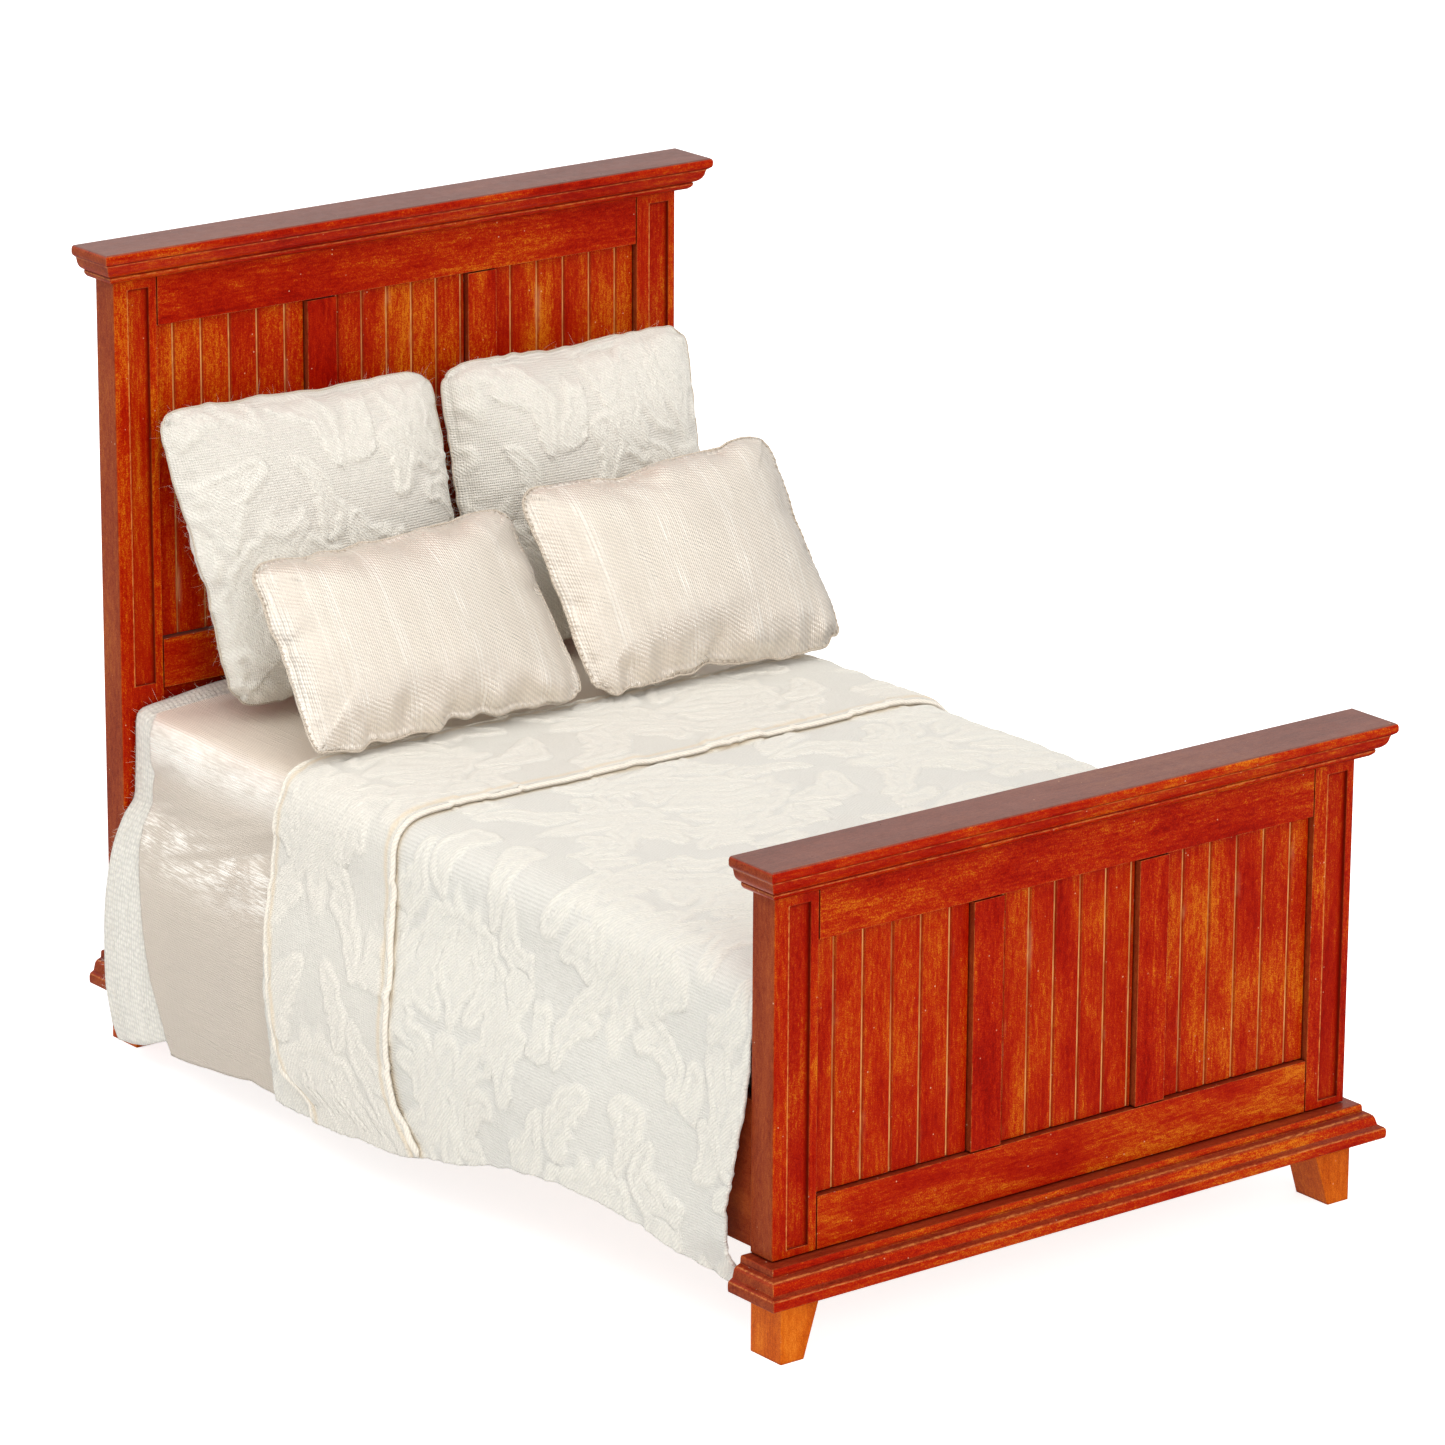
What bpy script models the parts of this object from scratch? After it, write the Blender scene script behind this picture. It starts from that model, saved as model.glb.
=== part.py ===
"""Dolls-house panel bed at 1:12 scale, dressed with bedding and four loose pillows.

X runs across the bed, Y from the footboard towards the headboard and Z up. The origin is on the floor under
the middle of the bed. Lengths below are in millimetres and become metres when a mesh is made.
"""

import math

import bmesh
import bpy
from mathutils import Matrix, Vector

MM = 0.001
SEAM = 0.2  # glue line left between two wooden pieces

# Head and foot boards: both decorated faces look towards the foot of the bed (-Y).
BOARD_HALF_WIDTH = 57.0
BOARD_DEPTH = 5.4
FOOT_FACE_Y = -86.4
HEAD_FACE_Y = 86.6
POST_WIDTH = 8.2
FIELD_WIDTH = 3.9
FIELD_DEPTH = 0.5
FIELD_SHIFT = 0.6  # the routed field sits a little to +X of the post's middle on every post
RAIL_DEPTH = 4.4
MULLION_X = 16.3
MULLION_WIDTH = 5.8
PANEL_SETBACK = 1.1
PANEL_THICKNESS = 2.0
GROOVE_WIDTH = 0.62
SIDE_GROOVES = (5, 5.5)  # count and spacing on the two side panels
CENTRE_GROOVES = (6, 5.05)

FOOT_PANEL_Z = (24.2, 64.2)
FOOT_FIELD_Z = (17.0, 70.4)
FOOT_CROWN_Z = 72.6
HEAD_PANEL_Z = (69.0, 122.0)
HEAD_FIELD_Z = (61.8, 128.6)
HEAD_CROWN_Z = 130.6
HEAD_RAIL_BOTTOM_Z = 60.7

# Mouldings: they overhang the posts at the front and at both ends, and finish flush at the back.
CROWN_SIDE, CROWN_FRONT = 4.4, 4.9
PLINTH_Z = 10.3
PLINTH_TOP_Z = 15.6
PLINTH_SIDE, PLINTH_FRONT = 4.1, 5.6
# Each level is a height above the moulding's underside and the share of the overhang reached there.
CROWN_PROFILE = (
    (0.0, 0.33), (0.3, 0.41), (0.6, 0.465), (0.95, 0.48), (1.2, 0.455), (1.26, 0.49), (1.4, 0.56),
    (1.65, 0.64), (2.0, 0.715), (2.5, 0.77), (3.1, 0.8), (3.5, 0.83), (3.72, 0.9), (3.95, 0.965),
    (4.3, 1.0), (4.95, 1.0), (5.3, 0.975), (5.5, 0.91),
)
PLINTH_PROFILE = (
    (0.0, 0.95), (0.15, 0.985), (0.6, 1.0), (1.2, 1.0), (1.6, 0.985), (1.85, 0.93), (1.98, 0.86),
    (2.15, 0.79), (2.6, 0.765), (3.15, 0.735), (3.55, 0.69), (3.85, 0.6), (4.0, 0.5), (4.1, 0.44),
    (4.35, 0.43), (4.95, 0.425), (5.2, 0.4), (5.3, 0.36),
)

BLOCK_TOP_WIDTH, BLOCK_BOTTOM_WIDTH = 7.6, 4.4  # the short feet taper on the inner side
BLOCK_FRONT = 2.0

# Side rails and the bed's inside
RAIL_OUTER_X = 56.6
RAIL_THICKNESS = 3.2
RAIL_Z = (16.4, 39.4)
CLEAT_Z = (27.8, 31.2)
CLEAT_WIDTH = 3.0
BOARD_Z = (31.4, 33.4)
MATTRESS_HALF_WIDTH = 52.4
MATTRESS_Z = (33.7, 55.2)
MATTRESS_Y = (-79.6, 86.1)
MATTRESS_ROUNDING = 3.0

# Cross-section that the innermost cloth follows, from the top of the bed down the -X or +X side
DRAPE = (
    (48.0, 55.75), (51.4, 55.4), (53.2, 54.0), (54.0, 51.6), (54.4, 46.0), (55.2, 43.0), (57.6, 39.9),
    (59.6, 35.5), (61.0, 29.0), (61.7, 22.0), (62.0, 14.0), (62.0, 4.0),
)
# name: distance outside the innermost cloth, thickness, first and last Y, height of the hem
CLOTHS = {
    "terry_blanket": (0.0, 0.7, 32.0, 85.9, 4.0),
    "satin_sheet": (0.95, 0.4, 8.0, 82.4, 6.5),
    "coverlet": (1.9, 0.8, -80.3, 45.0, 9.5),
    "coverlet_cuff": (3.05, 0.8, 10.6, 44.6, 10.5),
}

# Pillows: corners are (x, height up the pillow) in the pillow's own plane, bottom left first, anticlockwise.
EURO_THICKNESS = 15.5
SATIN_THICKNESS = 11.5
PILLOWS = {
    "euro_pillow_left": (((-43.5, 0.0), (2.4, 0.0), (2.2, 48.0), (-53.0, 50.6)), EURO_THICKNESS,
                         (72.0, 59.2), 11.5),
    "euro_pillow_right": (((3.4, 0.0), (54.0, 0.0), (54.6, 49.2), (3.4, 48.6)), EURO_THICKNESS,
                          (72.0, 59.2), 11.5),
    "satin_pillow_left": (((-51.0, 0.0), (3.0, 0.0), (3.0, 35.4), (-47.6, 34.6)), SATIN_THICKNESS,
                          (39.4, 61.2), 43.0),
    "satin_pillow_right": (((4.2, 0.0), (56.6, 0.0), (57.8, 38.2), (4.0, 36.6)), SATIN_THICKNESS,
                           (39.6, 61.2), 37.5),
}

for old in list(bpy.data.objects):
    bpy.data.objects.remove(old)

part_collection = bpy.data.collections.new("panel_bed")
cutter_collection = bpy.data.collections.new("cutters")
bpy.context.scene.collection.children.link(part_collection)
bpy.context.scene.collection.children.link(cutter_collection)


def make_material(name, colour, roughness):
    material = bpy.data.materials.new(name)
    material.use_nodes = True
    shader = material.node_tree.nodes["Principled BSDF"]
    shader.inputs["Base Color"].default_value = (*colour, 1.0)
    shader.inputs["Roughness"].default_value = roughness
    shader.inputs["Metallic"].default_value = 0.0
    material.diffuse_color = (*colour, 1.0)
    return material


WOOD = make_material("cherry_stained_wood", (0.42, 0.085, 0.018), 0.28)
LIGHT_WOOD = make_material("amber_stained_wood", (0.56, 0.17, 0.03), 0.3)
RAW_WOOD = make_material("bare_basswood", (0.62, 0.45, 0.28), 0.6)
FOAM = make_material("mattress_ticking", (0.85, 0.83, 0.78), 0.9)
TERRY = make_material("white_terry", (0.87, 0.86, 0.82), 0.95)
SATIN = make_material("ivory_satin", (0.8, 0.74, 0.67), 0.35)
BROCADE = make_material("ivory_brocade", (0.84, 0.82, 0.76), 0.7)


def add_object(name, bm, location, material, collection=None):
    """Turns a bmesh drawn in millimetres about its own origin into a placed object."""
    bmesh.ops.scale(bm, vec=(MM, MM, MM), verts=bm.verts)
    bmesh.ops.recalc_face_normals(bm, faces=bm.faces)
    mesh = bpy.data.meshes.new(name)
    bm.to_mesh(mesh)
    bm.free()
    mesh.materials.append(material)
    piece = bpy.data.objects.new(name, mesh)
    piece.location = Vector(location) * MM
    (collection or part_collection).objects.link(piece)
    return piece


def box_mesh(size):
    bm = bmesh.new()
    bmesh.ops.create_cube(bm, size=1.0)
    bmesh.ops.scale(bm, vec=size, verts=bm.verts)
    return bm


def add_box(name, x, y, z, material):
    """A box from its (low, high) pair along each axis, with its origin in its middle."""
    size = (x[1] - x[0], y[1] - y[0], z[1] - z[0])
    middle = ((x[0] + x[1]) / 2, (y[0] + y[1]) / 2, (z[0] + z[1]) / 2)
    return add_object(name, box_mesh(size), middle, material)


def as_cutter(cutter):
    cutter.hide_render = True
    cutter.display_type = "WIRE"
    return cutter


def cut(piece, cutter):
    modifier = piece.modifiers.new("cut", "BOOLEAN")
    modifier.operation = "DIFFERENCE"
    modifier.solver = "EXACT"
    modifier.object = cutter


def add_post(name, side, face_y, z, field_z):
    """A flat post with a shallow routed field on its front face and softened outer edges."""
    middle_x = side * (BOARD_HALF_WIDTH - POST_WIDTH / 2)
    middle = (middle_x, face_y + BOARD_DEPTH / 2, (z[0] + z[1]) / 2)
    bm = box_mesh((POST_WIDTH, BOARD_DEPTH, z[1] - z[0]))
    outer = []
    for edge in bm.edges:
        ends = [vert.co for vert in edge.verts]
        upright = abs(ends[0].z - ends[1].z) > 1.0
        if upright and ends[0].x * side > 0:
            outer.append(edge)
    bmesh.ops.bevel(bm, geom=outer, offset=0.3, segments=2, profile=0.5, affect="EDGES")
    post = add_object(name, bm, middle, WOOD)
    field_height = field_z[1] - field_z[0]
    field = box_mesh((FIELD_WIDTH, FIELD_DEPTH * 2, field_height))
    place = (middle_x + FIELD_SHIFT, face_y, (field_z[0] + field_z[1]) / 2)
    cut(post, as_cutter(add_object(name + "_field", field, place, WOOD, cutter_collection)))
    return post


def add_panel(name, x, face_y, z, grooves):
    """A beadboard panel: a thin board with upright V grooves on its front."""
    front = face_y + PANEL_SETBACK
    panel = add_box(name, x, (front, front + PANEL_THICKNESS), z, WOOD)
    count, spacing = grooves
    edge = GROOVE_WIDTH / math.sqrt(2)
    bm = box_mesh((edge, edge, z[1] - z[0] + 4.0))
    bmesh.ops.rotate(bm, cent=(0, 0, 0), matrix=Matrix.Rotation(math.radians(45), 3, "Z"), verts=bm.verts)
    first_x = (x[0] + x[1]) / 2 - spacing * (count - 1) / 2
    place = (first_x, front, (z[0] + z[1]) / 2)
    cutter = as_cutter(add_object(name + "_grooves", bm, place, WOOD, cutter_collection))
    row = cutter.modifiers.new("row", "ARRAY")
    row.count = count
    row.use_relative_offset = False
    row.use_constant_offset = True
    row.constant_offset_displace = (spacing * MM, 0, 0)
    cut(panel, cutter)
    return panel


def add_moulding(name, face_y, base_z, profile, side, front):
    """A board whose front and two ends are milled to a profile and meet in mitred corners."""
    height = profile[-1][0]
    bm = box_mesh((1.0, 1.0, height))
    for level, _ in profile[1:-1]:
        geometry = bm.verts[:] + bm.edges[:] + bm.faces[:]
        bmesh.ops.bisect_plane(bm, geom=geometry, plane_co=(0, 0, level - height / 2), plane_no=(0, 0, 1))
    for vert in bm.verts:
        level, reach = min(profile, key=lambda step: abs(step[0] - height / 2 - vert.co.z))
        vert.co.x = math.copysign(BOARD_HALF_WIDTH + side * reach, vert.co.x)
        vert.co.y = BOARD_DEPTH / 2 if vert.co.y > 0 else -BOARD_DEPTH / 2 - front * reach
    return add_object(name, bm, (0, face_y + BOARD_DEPTH / 2, base_z + height / 2), WOOD)


def add_foot(name, side, face_y):
    """A short block foot, upright outside and tapered inside."""
    top_z = PLINTH_Z - SEAM
    bm = box_mesh((BLOCK_TOP_WIDTH, BOARD_DEPTH + BLOCK_FRONT, top_z))
    for vert in bm.verts:
        if vert.co.z < 0 and vert.co.x * side < 0:
            vert.co.x += side * (BLOCK_TOP_WIDTH - BLOCK_BOTTOM_WIDTH)
    upright = [e for e in bm.edges if abs(e.verts[0].co.z - e.verts[1].co.z) > 1.0]
    bmesh.ops.bevel(bm, geom=upright, offset=0.2, segments=2, profile=0.5, affect="EDGES")
    middle_x = side * (BOARD_HALF_WIDTH - 0.2 - BLOCK_TOP_WIDTH / 2)
    middle_y = face_y + (BOARD_DEPTH - BLOCK_FRONT) / 2
    return add_object(name, bm, (middle_x, middle_y, top_z / 2), LIGHT_WOOD)


def add_board(prefix, face_y, panel_z, field_z, crown_z, rail_bottom_z):
    """One end of the bed: posts, rails, mullions, three beadboard panels, crown, plinth and feet."""
    inner = BOARD_HALF_WIDTH - POST_WIDTH
    rail_x = (-inner + SEAM, inner - SEAM)
    rail_y = (face_y, face_y + RAIL_DEPTH)
    post_z = (PLINTH_TOP_Z + SEAM, crown_z - SEAM)
    add_post(prefix + "_post_left", -1, face_y, post_z, field_z)
    add_post(prefix + "_post_right", 1, face_y, post_z, field_z)
    add_box(prefix + "_top_rail", rail_x, rail_y, (panel_z[1], crown_z - SEAM), WOOD)
    add_box(prefix + "_bottom_rail", rail_x, rail_y, (rail_bottom_z, panel_z[0]), WOOD)
    low_z, high_z = panel_z[0] + SEAM, panel_z[1] - SEAM
    mullion_near = MULLION_X - MULLION_WIDTH / 2
    mullion_far = MULLION_X + MULLION_WIDTH / 2
    for side, word in ((-1, "left"), (1, "right")):
        mullion_x = sorted((side * mullion_near, side * mullion_far))
        add_box(prefix + "_mullion_" + word, mullion_x, rail_y, (low_z, high_z), WOOD)
        panel_x = sorted((side * (mullion_far + SEAM), side * (inner - SEAM)))
        add_panel(prefix + "_panel_" + word, panel_x, face_y, (low_z, high_z), SIDE_GROOVES)
        add_foot(prefix + "_foot_" + word, side, face_y)
    centre_x = (-mullion_near + SEAM, mullion_near - SEAM)
    add_panel(prefix + "_panel_centre", centre_x, face_y, (low_z, high_z), CENTRE_GROOVES)
    add_moulding(prefix + "_crown", face_y, crown_z, CROWN_PROFILE, CROWN_SIDE, CROWN_FRONT)
    add_moulding(prefix + "_plinth", face_y, PLINTH_Z, PLINTH_PROFILE, PLINTH_SIDE, PLINTH_FRONT)


def offset_path(path, distance):
    """Moves each point of an open path outwards, square to the path."""
    moved = []
    for index, point in enumerate(path):
        before = Vector(path[max(index - 1, 0)])
        after = Vector(path[min(index + 1, len(path) - 1)])
        along = (after - before).normalized()
        moved.append(Vector(point) + Vector((-along.y, along.x)) * distance)
    return moved


def add_cloth(name, distance, thickness, start_y, end_y, hem_z, material):
    """A cloth over the bed: one strip drawn across it, drawn out along Y and given its thickness."""
    drop = [point for point in offset_path(DRAPE, distance)]
    drop[-1].y = hem_z
    half = [(point.x, point.y) for point in drop if point.y >= hem_z]
    section = [(-x, z) for x, z in reversed(half)] + half
    bm = bmesh.new()
    verts = [bm.verts.new((x, 0.0, z)) for x, z in section]
    edges = [bm.edges.new(pair) for pair in zip(verts, verts[1:])]
    drawn = bmesh.ops.extrude_edge_only(bm, edges=edges)["geom"]
    far = [item for item in drawn if isinstance(item, bmesh.types.BMVert)]
    bmesh.ops.translate(bm, vec=(0, end_y - start_y, 0), verts=far)
    cloth = add_object(name, bm, (0, start_y, 0), material)
    shell = cloth.modifiers.new("thickness", "SOLIDIFY")
    shell.thickness = thickness * MM
    shell.offset = 0.0
    shell.use_even_offset = True
    return cloth


def add_pillow(name, corners, thickness, foot, lean_degrees, material):
    """A stuffed pillow between four corners. Its origin is on its bottom seam, and it leans towards +Y."""
    bm = bmesh.new()
    bmesh.ops.create_cube(bm, size=2.0)
    flat = [e for e in bm.edges if abs(e.verts[0].co.y - e.verts[1].co.y) < 0.5]
    bmesh.ops.subdivide_edges(bm, edges=flat, cuts=11, use_grid_fill=True)
    bottom_left, bottom_right, top_right, top_left = [Vector(corner) for corner in corners]
    middle_x = sum(corner[0] for corner in corners) / 4
    for vert in bm.verts:
        u, v = vert.co.x, vert.co.z
        puff = math.sqrt(max((1 - abs(u) ** 2.6) * (1 - abs(v) ** 2.6), 0.0))
        low = bottom_left.lerp(bottom_right, (u + 1) / 2)
        high = top_left.lerp(top_right, (u + 1) / 2)
        spot = low.lerp(high, (v + 1) / 2)
        depth = vert.co.y * (0.5 + (thickness / 2 - 0.5) * puff)
        vert.co = (spot.x - middle_x, depth, spot.y)
    lean = Matrix.Rotation(math.radians(-lean_degrees), 3, "X")
    bmesh.ops.rotate(bm, cent=(0, 0, 0), matrix=lean, verts=bm.verts)
    pillow = add_object(name, bm, (middle_x, foot[0], foot[1]), material)
    for polygon in pillow.data.polygons:
        polygon.use_smooth = True
    return pillow


add_board("head", HEAD_FACE_Y, HEAD_PANEL_Z, HEAD_FIELD_Z, HEAD_CROWN_Z, HEAD_RAIL_BOTTOM_Z)
add_board("foot", FOOT_FACE_Y, FOOT_PANEL_Z, FOOT_FIELD_Z, FOOT_CROWN_Z, PLINTH_TOP_Z + SEAM)
board_inner = BOARD_HALF_WIDTH - POST_WIDTH - SEAM
lower_y = (HEAD_FACE_Y + PANEL_SETBACK, HEAD_FACE_Y + PANEL_SETBACK + PANEL_THICKNESS)
add_box("head_lower_board", (-board_inner, board_inner), lower_y,
        (PLINTH_TOP_Z + SEAM, HEAD_RAIL_BOTTOM_Z - SEAM), WOOD)

# Between the boards
inside_y = (FOOT_FACE_Y + BOARD_DEPTH + SEAM, HEAD_FACE_Y - SEAM)
rail_inner_x = RAIL_OUTER_X - RAIL_THICKNESS
for side, word in ((-1, "left"), (1, "right")):
    rail_x = sorted((side * rail_inner_x, side * RAIL_OUTER_X))
    add_box("side_rail_" + word, rail_x, inside_y, RAIL_Z, WOOD)
    cleat_x = sorted((side * (rail_inner_x - SEAM - CLEAT_WIDTH), side * (rail_inner_x - SEAM)))
    add_box("cleat_" + word, cleat_x, (inside_y[0] + 3.0, inside_y[1] - 3.0), CLEAT_Z, RAW_WOOD)
board_edge = rail_inner_x - 0.4
add_box("bed_board", (-board_edge, board_edge), (inside_y[0] + 0.3, inside_y[1] - 0.3), BOARD_Z, RAW_WOOD)

# Bedding
mattress = add_box("mattress", (-MATTRESS_HALF_WIDTH, MATTRESS_HALF_WIDTH), MATTRESS_Y, MATTRESS_Z, FOAM)
rounding = mattress.modifiers.new("rounding", "BEVEL")
rounding.width = MATTRESS_ROUNDING * MM
rounding.segments = 3
cloth_materials = {"terry_blanket": TERRY, "satin_sheet": SATIN, "coverlet": BROCADE, "coverlet_cuff": BROCADE}
for cloth_name, cloth_sizes in CLOTHS.items():
    add_cloth(cloth_name, *cloth_sizes, cloth_materials[cloth_name])

# Pillows
for pillow_name, pillow_sizes in PILLOWS.items():
    add_pillow(pillow_name, *pillow_sizes, SATIN if pillow_name.startswith("satin") else BROCADE)
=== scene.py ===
import math

import bmesh
import bpy
import numpy as np
from mathutils import Matrix, Vector


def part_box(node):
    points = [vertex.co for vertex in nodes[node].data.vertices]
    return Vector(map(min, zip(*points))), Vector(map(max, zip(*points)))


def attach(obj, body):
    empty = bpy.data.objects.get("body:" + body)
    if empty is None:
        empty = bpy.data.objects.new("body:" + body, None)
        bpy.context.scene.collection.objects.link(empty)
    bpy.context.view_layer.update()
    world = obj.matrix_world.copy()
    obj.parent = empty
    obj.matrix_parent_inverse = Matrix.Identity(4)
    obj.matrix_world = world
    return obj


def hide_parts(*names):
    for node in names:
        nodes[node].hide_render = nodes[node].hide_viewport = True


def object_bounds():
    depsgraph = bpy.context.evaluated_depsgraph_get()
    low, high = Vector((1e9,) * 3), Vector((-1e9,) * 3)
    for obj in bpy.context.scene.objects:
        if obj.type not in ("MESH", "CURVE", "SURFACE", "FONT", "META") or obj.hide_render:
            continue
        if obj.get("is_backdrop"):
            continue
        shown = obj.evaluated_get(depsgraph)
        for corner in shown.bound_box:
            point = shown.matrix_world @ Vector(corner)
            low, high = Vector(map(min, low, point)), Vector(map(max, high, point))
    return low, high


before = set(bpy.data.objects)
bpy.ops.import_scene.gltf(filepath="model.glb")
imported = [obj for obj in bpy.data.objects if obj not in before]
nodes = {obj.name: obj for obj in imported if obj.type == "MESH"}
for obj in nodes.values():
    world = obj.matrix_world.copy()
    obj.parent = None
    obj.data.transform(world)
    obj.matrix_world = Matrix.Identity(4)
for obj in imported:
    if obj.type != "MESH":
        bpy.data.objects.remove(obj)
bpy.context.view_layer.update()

MM = 0.001
scene = bpy.context.scene


def add_object(name, data):
    made = bpy.data.objects.new(name, data)
    scene.collection.objects.link(made)
    return made


# ---------------------------------------------------------------- camera, light and floor
camera_data = bpy.data.cameras.new("camera")
camera = add_object("camera", camera_data)
camera.location = (-0.64899, -0.83408, 0.39249)
camera.rotation_euler = (math.radians(72.884), math.radians(-0.311), math.radians(-37.809))
camera_data.sensor_width = 36.0
camera_data.lens = 173.114
camera_data.clip_start = 0.02
camera_data.clip_end = 50.0
scene.camera = camera
scene.view_settings.view_transform = "Standard"


class Tree:
    """A small helper for building node trees: every call makes one node and returns its main output."""

    def __init__(self, owner):
        owner.use_nodes = True
        self.owner, self.tree = owner, owner.node_tree
        self.tree.nodes.clear()

    def node(self, kind, inputs=None, **settings):
        made = self.tree.nodes.new(kind)
        for key, value in settings.items():
            setattr(made, key, value)
        for key, value in (inputs or {}).items():
            socket = made.inputs[key]
            if isinstance(value, bpy.types.NodeSocket):
                self.tree.links.new(value, socket)
            else:
                socket.default_value = value
        return made

    def math(self, operation, a, b=0.0, c=0.0, clamp=False):
        made = self.node("ShaderNodeMath", {0: a, 1: b, 2: c}, operation=operation, use_clamp=clamp)
        return made.outputs[0]

    def add(self, a, b):
        return self.math("ADD", a, b)

    def sub(self, a, b):
        return self.math("SUBTRACT", a, b)

    def mad(self, a, b, c):
        return self.math("MULTIPLY_ADD", a, b, c)

    def mul(self, *factors):
        product = factors[0]
        for factor in factors[1:]:
            product = self.math("MULTIPLY", product, factor)
        return product

    def vector(self, operation, a, b=(0, 0, 0)):
        return self.node("ShaderNodeVectorMath", {0: a, 1: b}, operation=operation).outputs[0]

    def scaled(self, vector, x, y, z=1.0):
        return self.vector("MULTIPLY", vector, (x, y, z))

    def axis(self, vector, number):
        return self.node("ShaderNodeSeparateXYZ", {0: vector}).outputs[number]

    def place(self):
        return self.node("ShaderNodeTexCoord").outputs["Object"]

    def normal(self):
        return self.node("ShaderNodeNewGeometry").outputs["Normal"]

    def attribute(self, name, output="Fac"):
        return self.node("ShaderNodeAttribute", attribute_name=name).outputs[output]

    def noise(self, vector, scale, detail=2.0, roughness=0.5, distortion=0.0):
        return self.node("ShaderNodeTexNoise", {"Vector": vector, "Scale": scale, "Detail": detail,
                                                "Roughness": roughness, "Distortion": distortion}).outputs[0]

    def voronoi(self, vector, scale, randomness=1.0):
        made = self.node("ShaderNodeTexVoronoi", {"Vector": vector, "Scale": scale, "Randomness": randomness})
        return made.outputs["Distance"]

    def wave(self, vector, scale, direction="X", distortion=0.0, detail=0.0, detail_scale=1.0):
        return self.node("ShaderNodeTexWave", {"Vector": vector, "Scale": scale, "Distortion": distortion,
                                               "Detail": detail, "Detail Scale": detail_scale},
                         bands_direction=direction).outputs[1]

    def range(self, value, low, high, to_low=0.0, to_high=1.0, kind="LINEAR"):
        return self.node("ShaderNodeMapRange", {"Value": value, "From Min": low, "From Max": high,
                                                "To Min": to_low, "To Max": to_high},
                         interpolation_type=kind, clamp=True).outputs[0]

    def ease(self, *settings):
        return self.range(*settings, kind="SMOOTHSTEP")

    def band(self, value, low, low_full, high, high_full, unit=1.0, kind="LINEAR"):
        """Full between low_full and high_full, and fading to nothing at low and high."""
        return self.mul(self.range(value, low * unit, low_full * unit, kind=kind),
                        self.range(value, high * unit, high_full * unit, kind=kind))

    def mix(self, factor, a, b, blend="MIX"):
        made = self.node("ShaderNodeMix", data_type="RGBA", blend_type=blend)
        for key, value in ((0, factor), (6, a), (7, b)):
            if isinstance(value, bpy.types.NodeSocket):
                self.tree.links.new(value, made.inputs[key])
            elif key == 0:
                made.inputs[key].default_value = value
            else:
                made.inputs[key].default_value = (*value, 1.0)
        return made.outputs[2]

    def ramp(self, value, stops):
        made = self.node("ShaderNodeValToRGB", {0: value})
        elements = made.color_ramp.elements
        while len(elements) < len(stops):
            elements.new(0.5)
        for element, (place, colour) in zip(elements, stops):
            element.position = place
            element.color = (*colour, 1.0)
        return made.outputs[0]

    def bump(self, height, distance, strength, normal=None):
        under = {"Normal": normal} if normal else {}
        return self.node("ShaderNodeBump", {"Height": height, "Distance": distance * MM, "Strength": strength,
                                            **under}).outputs[0]

    def paint(self, factor, colour):
        """Lays a colour over what is painted so far."""
        self.colour = self.mix(factor, self.colour, colour)

    def surface(self, roughness, level, sheen=None, **sockets):
        """Ends the tree in a Principled shader of the painted colour, and returns the material. level is its
        specular level, and sheen a (weight, roughness)."""
        inputs = {"Base Color": self.colour, "Roughness": roughness, "Specular IOR Level": level}
        if sheen:
            inputs["Sheen Weight"], inputs["Sheen Roughness"] = sheen
        inputs.update({key.replace("_", " "): value for key, value in sockets.items()})
        shader = self.node("ShaderNodeBsdfPrincipled", inputs)
        self.node("ShaderNodeOutputMaterial", {0: shader.outputs[0]})
        return self.owner


def shade(colour, share):
    return [min(c * share, 1.0) for c in colour]


# The camera sees a white room. All else is lit by a pale sky that darkens below the horizon.
world = bpy.data.worlds.new("studio")
scene.world = world
tree = Tree(world)
direction = tree.node("ShaderNodeTexCoord").outputs["Generated"]
parts = tree.node("ShaderNodeSeparateXYZ", {0: direction}).outputs
height = tree.ease(parts[2], -0.12, 0.05)
side_light = tree.add(tree.mul(parts[0], -0.5), tree.mul(parts[1], 0.5))
low_light = tree.range(side_light, -0.1, 0.7, 0.01, 0.6)
low_colour = tree.node("ShaderNodeCombineColor", {0: low_light, 1: low_light, 2: low_light}).outputs[0]
sky = tree.mix(height, low_colour, (0.86, 0.86, 0.86))
backdrop = tree.node("ShaderNodeBackground", {"Color": sky, "Strength": 0.8}).outputs[0]
white = tree.node("ShaderNodeBackground", {"Color": (1, 1, 1, 1), "Strength": 1.0}).outputs[0]
seen = tree.node("ShaderNodeLightPath").outputs["Is Camera Ray"]
shown = tree.node("ShaderNodeMixShader", {0: seen, 1: backdrop, 2: white}).outputs[0]
tree.node("ShaderNodeOutputWorld", {0: shown})


def add_area_light(name, place, target, size, power, colour=(1.0, 1.0, 1.0)):
    data = bpy.data.lights.new(name, "AREA")
    data.shape = "RECTANGLE"
    data.size, data.size_y = size
    data.energy = power
    data.color = colour
    lamp = add_object(name, data)
    lamp.location = place
    lamp.rotation_euler = (Vector(target) - Vector(place)).to_track_quat("-Z", "Y").to_euler()


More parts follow.
